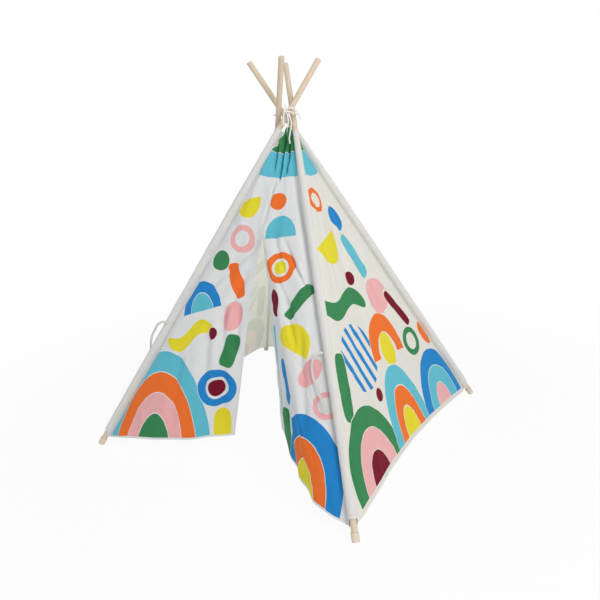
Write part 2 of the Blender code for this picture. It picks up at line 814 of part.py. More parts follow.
def add_ties(canvas) -> None:
    """The ribbon on each front sleeve, hanging as it falls."""
    seat = TIE_THICK / 2 + TIE_CLEAR
    left = LEGS["fl"]
    wide = SLEEVE_WIDE + seat
    deep = SLEEVE_DEEP + seat
    route = ((20, 0.0, 0.0), (48, 0.006, 0.002), (78, 0.020, 0.007), (108, 0.043, 0.006))
    route += ((135, 0.075, 0.003), (155, 0.110, 0.001), (168, 0.150, 0.001), (174, 0.195, 0.001))
    points = []
    faces = []
    for degrees, drop, off in route:
        a = math.radians(degrees)
        p = (wide + off) * math.cos(a)
        q = (deep + off) * math.sin(a)
        points.append(left.at(TIE_START - drop, p, q))
        faces.append(left.across * math.cos(a) * 0.8 - left.inward * math.sin(a))
    fine = through(points, TIE_STEP)
    turns = through(faces, 1.0)
    looks = spread_like(fine, points, turns)
    add_mesh("tie_left", ribbon(fine, looks), canvas, left.empty)
    right = LEGS["fr"]
    normal = wall_normal(LEGS["fl"], right)
    level = (seam_point(LEGS["fl"], 1, TIE_START) - seam_point(right, -1, TIE_START)).normalized()
    down = -right.along
    stand = CLOTH_THICK / 2 + DOOR_FOLD_DEPTH + seat
    sewn = -DOOR_FOLD_DEPTH - TIE_CLEAR / 2
    route = ((0.012, 0.0, sewn), (0.017, 0.003, sewn), (0.028, 0.013, 0.004))
    route += ((0.041, 0.036, 0.005),)
    route += ((0.050, 0.066, 0.002), (0.048, 0.100, 0.002), (0.038, 0.135, 0.002))
    route += ((0.026, 0.170, 0.002), (0.014, 0.205, 0.004))
    base = seam_point(right, -1, TIE_START)
    points = [base + level * a + down * b - normal * (stand + c) for a, b, c in route]
    fine = through(points, TIE_STEP)
    add_mesh("tie_right", ribbon(fine, [-normal] * len(fine)), canvas, right.empty)


def spread_like(fine: list, points: list, values: list) -> list:
    """A value for each fine point, from the values at the route's points."""
    out = []
    for p in fine:
        i = min(range(len(points)), key=lambda k: (points[k] - p).length)
        j = min(range(len(points)), key=lambda k: (points[k] - p).length if k != i else 9.0)
        a = (points[i] - p).length
        b = (points[j] - p).length
        out.append(mix(values[i], values[j], a / max(a + b, 1e-9)).normalized())
    return out


def main() -> None:
    """Builds the whole tent."""
    clear_scene()
    wood = make_material("pine", (0.78, 0.62, 0.42), 0.55)
    metal = make_material("steel", (0.62, 0.62, 0.60), 0.35, 1.0)
    rubber = make_material("rubber", (0.74, 0.66, 0.62), 0.45)
    canvas = make_material("canvas", (0.80, 0.80, 0.80), 0.90)
    cord = make_material("cord", (0.88, 0.88, 0.87), 0.85)
    root = add_empty("crossing", Matrix.Translation(UP * PIVOT_HEIGHT))
    for leg in LEGS.values():
        axes = Matrix((leg.across, leg.inward, leg.along)).transposed().to_4x4()
        place = Matrix.Translation(leg.pivot) @ axes
        leg.empty = add_empty(f"leg_{leg.name}_pivot", place, root)
        add_pole(leg, wood)
        add_ferrules(leg, metal)
        add_cap(leg, rubber)
        add_sleeve(leg, canvas)
        pivot = [round(c, 5) for c in leg.pivot]
        print("leg", leg.name, "pivot", pivot, "along", [round(c, 5) for c in leg.along])
    add_walls(canvas)
    add_front(canvas)
    add_cord(root, cord)
    add_ties(canvas)


if __name__ == "__main__":
    main()
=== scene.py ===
"""Looks of the play tent: printed canvas on four pine poles, tied with a cord at the top.

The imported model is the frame. Every sheet here lies where its plain solid lies, in metres,
with +Z up and the door towards -Y.
"""

from __future__ import annotations

import json
import logging
import math
from dataclasses import dataclass, field
from enum import Enum
from typing import Callable, Iterable, Union

import bpy
from mathutils import Matrix, Vector, noise

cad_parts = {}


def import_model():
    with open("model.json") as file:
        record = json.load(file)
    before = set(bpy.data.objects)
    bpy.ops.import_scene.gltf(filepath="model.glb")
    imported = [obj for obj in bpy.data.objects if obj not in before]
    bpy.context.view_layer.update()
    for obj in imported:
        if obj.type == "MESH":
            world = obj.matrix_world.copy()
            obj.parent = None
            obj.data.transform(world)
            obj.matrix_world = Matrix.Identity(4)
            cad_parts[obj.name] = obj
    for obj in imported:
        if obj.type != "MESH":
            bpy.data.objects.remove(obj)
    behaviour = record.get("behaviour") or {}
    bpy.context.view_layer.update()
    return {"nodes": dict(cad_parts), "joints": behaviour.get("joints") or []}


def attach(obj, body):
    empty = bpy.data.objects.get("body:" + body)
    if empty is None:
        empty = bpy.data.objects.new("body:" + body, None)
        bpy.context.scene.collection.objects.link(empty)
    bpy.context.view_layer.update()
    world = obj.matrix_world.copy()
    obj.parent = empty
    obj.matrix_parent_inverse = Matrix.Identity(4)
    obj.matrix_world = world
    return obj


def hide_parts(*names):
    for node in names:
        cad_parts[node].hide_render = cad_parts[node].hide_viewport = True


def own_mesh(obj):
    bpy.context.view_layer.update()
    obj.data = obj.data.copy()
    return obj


LOG = logging.getLogger("play_tent")
UP = Vector((0, 0, 1))
WELD_WITHIN = 1e-5
NO_EDGE = 0.05  # a distance that no hem or row of stitches reaches
Colour = tuple[float, float, float, float]


def linear(red: int, green: int, blue: int) -> Colour:
    """The linear colour of a screen colour given in steps of 255.

    Args:
        red: Its red.
        green: Its green.
        blue: Its blue.

    Returns:
        The colour, with full alpha.
    """
    parts = [c / 255 for c in (red, green, blue)]
    lit = [c / 12.92 if c <= 0.04045 else ((c + 0.055) / 1.055) ** 2.4 for c in parts]
    return (lit[0], lit[1], lit[2], 1.0)


def eased(x: float) -> float:
    """0 up to 0, 1 from 1 on, and level at both ends."""
    x = max(0.0, min(1.0, x))
    return x * x * (3 - 2 * x)


def mixed(a: Vector, b: Vector, share: float) -> Vector:
    """The point that share of the way from a to b."""
    return a + (b - a) * share


def rough(x: float, y: float, seed: float) -> float:
    """Smooth noise between about -1 and 1."""
    return noise.noise(Vector((x, y, seed)))


class Graph:
    """A material's node tree, built from Python."""

    def __init__(self, name: str) -> None:
        """Starts an empty Principled material.

        Args:
            name: The material's name.
        """
        self.material = bpy.data.materials.new(name)
        self.material.use_nodes = True
        self.tree = self.material.node_tree
        self.shader = self.tree.nodes["Principled BSDF"]

    def node(self, kind: str, settings: dict, inputs: dict) -> bpy.types.Node:
        """Adds a node.

        Args:
            kind: The node's type.
            settings: Its properties by name.
            inputs: Values, colours, sockets or levels by input name or number.

        Returns:
            The new node.
        """
        made = self.tree.nodes.new(kind)
        for name, value in settings.items():
            setattr(made, name, value)
        for key, value in inputs.items():
            self.feed(made.inputs[key], value)
        return made

    def feed(self, socket: bpy.types.NodeSocket, value: object) -> None:
        """Sets a socket to a value, or links it.

        Args:
            socket: The input.
            value: A constant, a socket or a level.
        """
        if isinstance(value, Level):
            self.tree.links.new(value.socket, socket)
        elif isinstance(value, bpy.types.NodeSocket):
            self.tree.links.new(value, socket)
        else:
            socket.default_value = value

    def give(self, name: str, value: object) -> None:
        """Feeds one of the shader's inputs."""
        self.feed(self.shader.inputs[name], value)

    def fix(self, constants: dict[str, object]) -> None:
        """Sets constants straight on the shader's inputs."""
        for name, value in constants.items():
            self.shader.inputs[name].default_value = value

    def cut(self, name: str) -> bpy.types.NodeSocket:
        """The vector of a UV map of the piece."""
        return self.node("ShaderNodeUVMap", {"uv_map": name}, {}).outputs["UV"]

    def place(self) -> bpy.types.NodeSocket:
        """The vector of the place in the row frame."""
        return self.node("ShaderNodeTexCoord", {}, {}).outputs["Object"]

    def parts(self, vector: bpy.types.NodeSocket) -> tuple[Level, Level, Level]:
        """The three numbers of a vector.

        Args:
            vector: The vector's socket.

        Returns:
            Its x, y and z.
        """
        split = self.node("ShaderNodeSeparateXYZ", {}, {0: vector})
        first, second, third = (Level(self, output) for output in split.outputs)
        return first, second, third

    def noise(self, vector: bpy.types.NodeSocket, scale: float, detail: float = 2.0) -> Level:
        """Noise between 0 and 1.

        Args:
            vector: Where it is read.
            scale: How fine it is, per unit of the vector.
            detail: How many finer layers it has.

        Returns:
            The noise as a level.
        """
        inputs = {"Vector": vector, "Scale": scale, "Detail": detail}
        made = self.node("ShaderNodeTexNoise", {}, inputs)
        return Level(self, made.outputs[0])

    def mix(
        self, share: object, first: object, second: object, way: str = "MIX"
    ) -> bpy.types.NodeSocket:
        """Mixes two colours.

        Args:
            share: How much of the second one.
            first: A colour or a colour socket.
            second: The same.
            way: The blend type.

        Returns:
            The mixed colour's socket.
        """
        settings = {"data_type": "RGBA", "blend_type": way}
        made = self.node("ShaderNodeMix", settings, {0: share, 6: first, 7: second})
        return made.outputs[2]

    def moved(self, vector: object, at: tuple, turn: tuple, scale: tuple) -> bpy.types.NodeSocket:
        """The vector as read in a box that lies at, turned and that large.

        Args:
            vector: Where it is read.
            at: The box's place.
            turn: Its turn in radians.
            scale: Its size.

        Returns:
            The vector's socket.
        """
        made = self.node("ShaderNodeMapping", {"vector_type": "TEXTURE"}, {})
        self.feed(made.inputs["Vector"], vector)
        made.inputs["Location"].default_value = at
        made.inputs["Rotation"].default_value = turn
        made.inputs["Scale"].default_value = scale
        return made.outputs[0]

    def stretched(self, vector: object, scale: tuple) -> bpy.types.NodeSocket:
        """The vector as read in a box of that size at its origin."""
        return self.moved(vector, (0, 0, 0), (0, 0, 0), scale)

    def bump(self, height: Level, strength: float, distance: float) -> None:
        """Feeds a height to the shader's normal."""
        inputs = {"Strength": strength, "Distance": distance, "Height": height}
        self.give("Normal", self.node("ShaderNodeBump", {}, inputs).outputs[0])


Number = Union["Level", float]


class Level:
    """A number that varies over a surface and takes part in Python sums."""

    def __init__(self, graph: Graph, socket: bpy.types.NodeSocket) -> None:
        """Wraps a float socket of that graph."""
        self.graph = graph
        self.socket = socket

    def join(self, operation: str, *others: Number) -> Level:
        """A Math node with this level first.

        Args:
            operation: The node's operation.
            others: Its other inputs.

        Returns:
            The result.
        """
        inputs = dict(enumerate((self, *others)))
        made = self.graph.node("ShaderNodeMath", {"operation": operation}, inputs)
        return Level(self.graph, made.outputs[0])

    def __add__(self, other: Number) -> Level:
        """self + other."""
        return self.join("ADD", other)

    def __radd__(self, other: Number) -> Level:
        """other + self."""
        return self.join("ADD", other)

    def __sub__(self, other: Number) -> Level:
        """self - other."""
        return self.join("SUBTRACT", other)

    def __rsub__(self, other: float) -> Level:
        """other - self."""
        return self * -1.0 + other

    def __mul__(self, other: Number) -> Level:
        """self * other."""
        return self.join("MULTIPLY", other)

    def __rmul__(self, other: Number) -> Level:
        """other * self."""
        return self.join("MULTIPLY", other)

    def __truediv__(self, other: Number) -> Level:
        """self / other."""
        return self.join("DIVIDE", other)

    def __pow__(self, other: float) -> Level:
        """self to a power."""
        return self.join("POWER", other)

    def __abs__(self) -> Level:
        """The size without its sign."""
        return self.join("ABSOLUTE")

    def __lt__(self, other: Number) -> Level:
        """1 where self is under other."""
        return self.join("LESS_THAN", other)

    def __gt__(self, other: Number) -> Level:
        """1 where self is over other."""
        return self.join("GREATER_THAN", other)

    def wave(self, length: float) -> Level:
        """A sine of that wavelength."""
        return (self * (2 * math.pi / length)).join("SINE")


class Ink(Enum):
    """Colours of the print."""

    GREEN = linear(56, 132, 82)
    TURQUOISE = linear(96, 184, 204)
    BLUE = linear(32, 132, 198)
    ORANGE = linear(238, 114, 44)
    PINK = linear(234, 172, 174)
    YELLOW = linear(224, 210, 48)
    MAROON = linear(116, 12, 36)


class Shape(Enum):
    """Outlines of the print's motifs."""

    OVAL = "oval"
    RING = "ring"
    DOME = "dome"
    ARCH = "arch"
    BAR = "bar"
    WAVE = "wave"
    STRIPED = "striped"


RING_MIDDLE = 0.80  # where the line of a ring runs, as a share of its half width
ARCH_MIDDLE = 0.78
# How fast the reach of a line-like shape grows beside its line.
SLOPES = {Shape.RING: 5.0, Shape.ARCH: 4.5, Shape.WAVE: 1.1}
KEYLINE = 0.0022  # width of the white line that the printer leaves round a shape


@dataclass(frozen=True)
class Motif:
    """One shape of the print, in metres on the flat cloth.

    x counts from the cloth's middle, y up its slope.
    """

    shape: Shape
    ink: Ink
    x: float
    y: float
    wide: float
    tall: float
    turn: float = 0.0

    def reach(self, graph: Graph, cut: bpy.types.NodeSocket) -> Level:
        """How far out a point is: 0 in the middle of the shape, 1 on its outline.

        Args:
            graph: The material's graph.
            cut: The cloth's own coordinates.

        Returns:
            The distance, which goes on growing outside.
        """
        scale = (self.wide, self.tall, 1.0)
        turn = (0.0, 0.0, math.radians(self.turn))
        local = graph.moved(cut, (self.x, self.y, 0.0), turn, scale)
        if self.shape is Shape.OVAL:
            return self.radius(graph, local)
        x, y, _ = graph.parts(local)
        slope = SLOPES.get(self.shape)
        if self.shape is Shape.RING:
            return abs(self.radius(graph, local) - RING_MIDDLE) * slope
        if self.shape is Shape.DOME:
            return self.radius(graph, local).join("MAXIMUM", 1.0 - y * 2.0)
        if self.shape is Shape.ARCH:
            line = abs(self.radius(graph, local) - ARCH_MIDDLE) * slope
            return line.join("MAXIMUM", 1.0 - y * slope)
        if self.shape is Shape.BAR:
            return (abs(x) ** 4 + abs(y) ** 4) ** 0.25
        if self.shape is Shape.WAVE:
            return ((abs(y - x.wave(2.0) * 0.9) * slope) ** 2 + abs(x) ** 6) ** 0.5
        return self.radius(graph, local).join("MAXIMUM", 1.25 - x.wave(0.4) * 1.2)

    def keyline(self) -> float:
        """How much further the white line round the shape reaches."""
        return KEYLINE * SLOPES.get(self.shape, 1.0) / min(self.wide, self.tall)

    @staticmethod
    def radius(graph: Graph, local: bpy.types.NodeSocket) -> Level:
        """The distance from the middle of the shape, 1 on its outline."""
        made = graph.node("ShaderNodeVectorMath", {"operation": "LENGTH"}, {0: local})
        return Level(graph, made.outputs["Value"])


BASE_SPAN = 1.200  # between the feet
TOP = 1.446  # up the slope, where the walls would meet
FOOT_LINE = 0.050  # up the slope, where the large domes stand
SEAM_FADE = 0.006  # beside a seam, where drawn folds end
HEM_FADE = 0.05  # over a hem, where sharp folds end
SIDE_HEM = 0.020  # unprinted edge of the closed walls
FRONT_HEM = 0.0085
# Painted light: the front's cloth is written cooler and the closed walls' warmer, as those faces
# look under cool and under warm light; all of it is one canvas.
COOL_LIT_CLOTH = linear(222, 224, 227)
WARM_LIT_CLOTH = linear(224, 222, 215)
INSIDE = linear(220, 220, 212)
PLAIN = linear(228, 227, 224)


def nest(x: float, *domes: tuple[Ink, float, float]) -> list[Motif]:
    """Domes inside one another on the foot line, the largest first."""
    return [Motif(Shape.DOME, ink, x, FOOT_LINE, wide, tall) for ink, wide, tall in domes]


CROWN = [
    Motif(Shape.OVAL, Ink.GREEN, 0.0, TOP, 0.215, 0.215),
    Motif(Shape.RING, Ink.TURQUOISE, 0.0, TOP, 0.262, 0.262),
]

FRONT_PRINT = [
    *CROWN,
    *nest(
        -0.325,
        (Ink.TURQUOISE, 0.235, 0.390),
        (Ink.ORANGE, 0.180, 0.305),
        (Ink.PINK, 0.125, 0.222),
        (Ink.GREEN, 0.072, 0.140),
    ),
    Motif(Shape.BAR, Ink.YELLOW, -0.048, 0.155, 0.034, 0.092, 4),
    Motif(Shape.RING, Ink.BLUE, -0.085, 0.335, 0.076, 0.076),
    Motif(Shape.OVAL, Ink.MAROON, -0.085, 0.335, 0.034, 0.034),
    Motif(Shape.BAR, Ink.GREEN, -0.050, 0.490, 0.030, 0.066, -12),
    Motif(Shape.WAVE, Ink.YELLOW, -0.235, 0.520, 0.115, 0.030, 20),
    Motif(Shape.OVAL, Ink.MAROON, -0.135, 0.545, 0.024, 0.024),
    Motif(Shape.OVAL, Ink.PINK, -0.062, 0.625, 0.044, 0.060, -14),
    Motif(Shape.DOME, Ink.BLUE, -0.200, 0.625, 0.092, 0.122, 22),
    Motif(Shape.DOME, Ink.TURQUOISE, -0.200, 0.625, 0.052, 0.072, 22),
    Motif(Shape.BAR, Ink.ORANGE, -0.072, 0.765, 0.026, 0.074, 30),
    Motif(Shape.OVAL, Ink.GREEN, -0.158, 0.835, 0.040, 0.040),
    Motif(Shape.RING, Ink.PINK, -0.078, 0.930, 0.054, 0.054),
    Motif(Shape.DOME, Ink.YELLOW, -0.085, 1.085, 0.056, 0.074, 200),
    Motif(Shape.OVAL, Ink.ORANGE, 0.050, 1.090, 0.034, 0.034),
    Motif(Shape.DOME, Ink.TURQUOISE, 0.092, 0.950, 0.064, 0.086, 12),
    Motif(Shape.RING, Ink.ORANGE, 0.118, 0.835, 0.060, 0.060),
    Motif(Shape.OVAL, Ink.YELLOW, 0.118, 0.835, 0.026, 0.026),
    Motif(Shape.BAR, Ink.GREEN, 0.222, 0.720, 0.022, 0.074, -28),
    Motif(Shape.OVAL, Ink.MAROON, 0.110, 0.700, 0.034, 0.052, 10),
    Motif(Shape.WAVE, Ink.TURQUOISE, 0.070, 0.430, 0.190, 0.024, 82),
    Motif(Shape.DOME, Ink.YELLOW, 0.225, 0.545, 0.080, 0.096, -16),
    Motif(Shape.OVAL, Ink.PINK, 0.322, 0.480, 0.036, 0.056, -26),
    Motif(Shape.BAR, Ink.BLUE, 0.190, 0.420, 0.030, 0.084, 18),
    Motif(Shape.OVAL, Ink.GREEN, 0.112, 0.175, 0.064, 0.130, -8),
    *nest(
        0.340,
        (Ink.BLUE, 0.190, 0.290),
        (Ink.ORANGE, 0.134, 0.212),
        (Ink.YELLOW, 0.080, 0.134),
    ),
    Motif(Shape.RING, Ink.PINK, 0.405, 0.385, 0.046, 0.046),
]

SIDE_PRINT = [
    *CROWN,
    Motif(Shape.RING, Ink.ORANGE, -0.048, 1.085, 0.050, 0.050),
    Motif(Shape.OVAL, Ink.BLUE, 0.058, 0.995, 0.038, 0.056, 14),
    Motif(Shape.DOME, Ink.YELLOW, -0.090, 0.930, 0.088, 0.105, 196),
    Motif(Shape.BAR, Ink.TURQUOISE, 0.088, 0.825, 0.034, 0.104, 22),
    Motif(Shape.OVAL, Ink.MAROON, -0.008, 0.750, 0.028, 0.028),
    Motif(Shape.WAVE, Ink.GREEN, -0.130, 0.675, 0.165, 0.038, -16),
    Motif(Shape.OVAL, Ink.PINK, 0.142, 0.635, 0.076, 0.076),
    Motif(Shape.STRIPED, Ink.BLUE, -0.170, 0.470, 0.128, 0.128, 20),
    Motif(Shape.ARCH, Ink.ORANGE, 0.060, 0.400, 0.128, 0.175, -6),
    Motif(Shape.OVAL, Ink.YELLOW, 0.060, 0.425, 0.050, 0.070, -6),
    Motif(Shape.BAR, Ink.MAROON, 0.252, 0.545, 0.022, 0.100, 30),
    Motif(Shape.BAR, Ink.GREEN, -0.345, 0.420, 0.030, 0.120, -22),
    *nest(
        -0.310,
        (Ink.GREEN, 0.200, 0.275),
        (Ink.PINK, 0.138, 0.196),
        (Ink.MAROON, 0.076, 0.116),
    ),
    *nest(
        0.020,
        (Ink.TURQUOISE, 0.160, 0.315),
        (Ink.ORANGE, 0.108, 0.228),
        (Ink.YELLOW, 0.058, 0.142),
    ),
    *nest(
        0.345,
        (Ink.BLUE, 0.178, 0.265),
        (Ink.TURQUOISE, 0.120, 0.188),
        (Ink.PINK, 0.062, 0.110),
    ),
    Motif(Shape.RING, Ink.GREEN, 0.262, 0.390, 0.062, 0.062),
    Motif(Shape.OVAL, Ink.ORANGE, 0.388, 0.385, 0.034, 0.060, 24),
    Motif(Shape.OVAL, Ink.MAROON, -0.130, 0.305, 0.026, 0.026),
]

BACK_PRINT = [
    *CROWN,
    Motif(Shape.OVAL, Ink.PINK, 0.040, 1.060, 0.044, 0.062, 10),
    Motif(Shape.DOME, Ink.BLUE, -0.080, 0.920, 0.084, 0.108, 14),
    Motif(Shape.RING, Ink.YELLOW, 0.095, 0.850, 0.062, 0.062),
    Motif(Shape.WAVE, Ink.ORANGE, -0.045, 0.735, 0.180, 0.034, 10),
    Motif(Shape.STRIPED, Ink.TURQUOISE, 0.155, 0.580, 0.120, 0.120, -30),
    Motif(Shape.OVAL, Ink.GREEN, -0.205, 0.560, 0.054, 0.108, 24),
    Motif(Shape.BAR, Ink.MAROON, -0.045, 0.520, 0.024, 0.104, 8),
    *nest(
        -0.320,
        (Ink.ORANGE, 0.195, 0.310),
        (Ink.YELLOW, 0.134, 0.222),
        (Ink.BLUE, 0.074, 0.134),
    ),
    *nest(
        0.000,
        (Ink.GREEN, 0.150, 0.250),
        (Ink.PINK, 0.096, 0.172),
    ),
    *nest(
        0.325,
        (Ink.TURQUOISE, 0.190, 0.325),
        (Ink.BLUE, 0.130, 0.236),
        (Ink.ORANGE, 0.070, 0.146),
    ),
    Motif(Shape.OVAL, Ink.YELLOW, -0.085, 0.380, 0.036, 0.056, -18),
    Motif(Shape.RING, Ink.PINK, 0.110, 0.400, 0.050, 0.050),
    Motif(Shape.OVAL, Ink.MAROON, -0.330, 0.430, 0.026, 0.044, -20),
]


@dataclass(frozen=True)
class CanvasFinish:
    """Cotton canvas, printed on its outer side."""

    name: str
    motifs: tuple[Motif, ...] = ()
    # the cloth's colour; on the walls' outer sides it carries painted light, cooler on the front
    # and warmer on the closed walls
    cloth: Colour = COOL_LIT_CLOTH
    print_share: float = 1.0
    hem_margin: float = 0.0085
    # strength of a painted glow: light that the cloth gives off in its own colours
    painted_glow: float = 0.0
    thread: float = 0.0011
    stitch_from_hem: float = 0.012
    stitch_from_seam: float = 0.0035
    stitch_length: float = 0.0050
    glow: float = 0.55
    seam_margin: float = 0.0060
    fold_past_stitch: float = 0.0015
    stitch_half: float = 0.0008
    slub_size: tuple[float, float] = (0.030, 0.0016)
    shadow: float = 0.93

    def material(self) -> bpy.types.Material:
        """Builds the material.

        Returns:
            The canvas with its weave, print and stitches, and its painted glow if it is given one.
        """
        graph = Graph(self.name)
        cut = graph.cut("cut")
        darker = tuple(self.shadow * c for c in self.cloth)
        colour = graph.mix(graph.noise(cut, 7.0, 3.0), self.cloth, darker)
        ground = colour
        inked = self.inked(graph) * self.print_share
        for motif in self.motifs:
            reach = motif.reach(graph, cut)
            if motif.shape is not Shape.STRIPED:
                colour = graph.mix(reach < 1.0 + motif.keyline(), colour, ground)
            colour = graph.mix((reach < 1.0) * inked, colour, motif.ink.value)
        weave = self.weave(graph, cut)
        band = self.hem_band(graph)
        long, thin = self.slub_size
        slub = graph.noise(graph.stretched(cut, (long, thin, 1)), 1.0)
        slub = slub + graph.noise(graph.stretched(cut, (thin, long, 1)), 1.0)
        # The slub varies the cloth's own tone; the weave adds painted shade, slightly darker in the
        # hollows between its threads.
        shade = 0.94 + slub * 0.07 + weave * 0.02
        stitches = self.stitches(graph)
        # Painted shade: the rows of stitches are darker, as their dips would be.
        shade = self.grey(graph, shade - stitches * 0.20)
        colour = graph.mix(1.0, colour, shade, "MULTIPLY")
        graph.give("Base Color", colour)
        graph.give("Roughness", 0.80 + slub * 0.12)
        graph.fix({"Sheen Weight": 0.05, "Sheen Roughness": 0.5, "Specular IOR Level": 0.18})
        graph.fix({"Subsurface Weight": self.glow, "Subsurface Scale": 0.004})
        graph.fix({"Subsurface Radius": (1.0, 1.0, 1.0)})
        # Painted glow: the cloth gives off weak light in its own colours, in place of the daylight
        # that would come through the canvas.
        if self.painted_glow:
            graph.give("Emission Color", colour)
            graph.fix({"Emission Strength": self.painted_glow})
        graph.bump(weave * 0.5 + slub * 0.6 - stitches * 1.2 + band * 1.5, 0.35, 0.0006)
        return graph.material

    def inked(self, graph: Graph) -> Level:
        """1 where the cloth is printed, which stops short of its hems."""
        seam, hem, _ = graph.parts(graph.cut("edge"))
        return (seam > self.seam_margin) * (hem > self.hem_margin)

    def hem_band(self, graph: Graph) -> Level:
        """1 on the folded edge of the hem."""
        hem = graph.parts(graph.cut("edge"))[1]
        return hem < self.stitch_from_hem + self.fold_past_stitch

    def weave(self, graph: Graph, cut: bpy.types.NodeSocket) -> Level:
        """The height of the crossing threads, about 0 to 1.

        Args:
            graph: The material's graph.
            cut: The cloth's own coordinates.

        Returns:
            The height.
        """
        x, y, _ = graph.parts(cut)
        over = x.wave(self.thread) * y.wave(2 * self.thread)
        under = y.wave(self.thread) * x.wave(2 * self.thread)
        return (over + under) * 0.25 + 0.5

    def stitches(self, graph: Graph) -> Level:
        """1 on the stitches along the hem and the seam.

        Args:
            graph: The material's graph.

        Returns:
            The stitches as a level.
        """
        seam, hem, _ = graph.parts(graph.cut("edge"))
        x, y, _ = graph.parts(graph.cut("cut"))

        def row(away: Level, line: float, along: Level) -> Level:
            """1 on the stitches of a row along that line."""
            on_line = abs(away - line) < self.stitch_half
            return on_line * (along.wave(self.stitch_length) > -0.5)

        by_hem = row(hem, self.stitch_from_hem, x)
        return by_hem.join("MAXIMUM", row(seam, self.stitch_from_seam, y))

    @staticmethod
    def grey(graph: Graph, level: Level) -> bpy.types.NodeSocket:
        """The level as a colour."""
        made = graph.node("ShaderNodeCombineColor", {}, {0: level, 1: level, 2: level})
        return made.outputs[0]


@dataclass(frozen=True)
class PineFinish:
    """Sanded pine with its grain along one pole."""

    name: str
    foot: Vector
    across: Vector
    inward: Vector
    along: Vector
    pale: Colour = linear(233, 218, 197)
    dark: Colour = linear(214, 190, 160)

    def material(self) -> bpy.types.Material:
        """Builds the material.

        Returns:
            Pine whose grain runs along the pole.
        """
        graph = Graph(self.name)
        axes = Matrix((self.across, self.inward, self.along)).transposed()
        turn = tuple(axes.to_euler("XYZ"))
        along = graph.moved(graph.place(), tuple(self.foot), turn, (1, 1, 1))
        stretched = graph.stretched(along, (0.004, 0.004, 0.110))
        figure = graph.noise(stretched, 1.0, 3.0)
        rings = (figure * 6.0 + graph.noise(stretched, 0.35)).wave(1.0) * 0.5 + 0.5
        fibres = graph.noise(graph.stretched(along, (0.0006, 0.0006, 0.020)), 1.0)
        share = rings * 0.55 + fibres * 0.35
        graph.give("Base Color", graph.mix(share, self.pale, self.dark))
        graph.give("Roughness", 0.46 + fibres * 0.22)
        graph.fix({"Specular IOR Level": 0.35})
        graph.bump(fibres + rings * 0.3, 0.25, 0.0004)
        return graph.material


@dataclass(frozen=True)
class SteelFinish:
    """Drawn steel tube."""

    name: str = "drawn_steel"
    bright: Colour = (0.60, 0.60, 0.59, 1)
    stained: Colour = (0.48, 0.47, 0.45, 1)

    def material(self) -> bpy.types.Material:
        """Builds the material.

        Returns:
            Brushed, slightly stained steel.
        """
        graph = Graph(self.name)
        place = graph.place()
        lines = graph.noise(graph.stretched(place, (0.002, 0.002, 0.0004)), 1.0)
        stain = graph.noise(place, 60.0, 3.0)
        graph.give("Base Color", graph.mix(stain, self.bright, self.stained))
        graph.give("Roughness", 0.28 + lines * 0.2)
        graph.fix({"Metallic": 1.0})
        return graph.material


@dataclass(frozen=True)
class RubberFinish:
    """Soft, slightly see-through rubber of the foot caps."""

    name: str = "soft_rubber"
    pale: Colour = linear(236, 221, 202)
    dark: Colour = linear(216, 195, 170)
    sole: float = 0.0035

    def material(self) -> bpy.types.Material:
        """Builds the material.

        Returns:
            Cream rubber with scuffs.
        """
        graph = Graph(self.name)
        place = graph.place()
        cloud = graph.noise(place, 45.0, 3.0)
        scuff = graph.noise(place, 420.0, 2.0)
        # Darker in its lowest few millimetres, towards the bottom.
        darker_at_bottom = (graph.parts(place)[2] < self.sole) * 0.35
        share = cloud * 0.5 + darker_at_bottom
        graph.give("Base Color", graph.mix(share, self.pale, self.dark))
        graph.give("Roughness", 0.34 + scuff * 0.25)
        graph.fix({"Subsurface Weight": 0.25, "Subsurface Scale": 0.5})
        graph.fix({"Subsurface Radius": (0.006, 0.004, 0.003)})
        graph.bump(scuff, 0.12, 0.0003)
        return graph.material


@dataclass(frozen=True)
class BraidFinish:
    """White braided cotton cord. Its map runs in metres along and in turns round it."""

    name: str = "braided_cord"
    plait: float = 0.0050
    plaits_round: float = 4.0
    white: Colour = linear(250, 250, 250)

    def material(self) -> bpy.types.Material:
        """Builds the material.

        Returns:
            The braid, with its plaits crossing round the cord.
        """
        graph = Graph(self.name)
        x, y, _ = graph.parts(graph.cut("cut"))
        left = (x / self.plait + y * self.plaits_round).wave(1.0)
        right = (x / self.plait - y * self.plaits_round).wave(1.0)
        plaits = left.join("MAXIMUM", right) * 0.5 + 0.5
        # Painted shade: the cord is darker in the grooves between its plaits.
        shade = CanvasFinish.grey(graph, 0.80 + plaits * 0.20)
        graph.give("Base Color", graph.mix(1.0, self.white, shade, "MULTIPLY"))
        graph.give("Roughness", 0.92 - plaits * 0.12)
        graph.fix({"Specular IOR Level": 0.2})
        graph.bump(plaits, 0.6, 0.0005)
        return graph.material


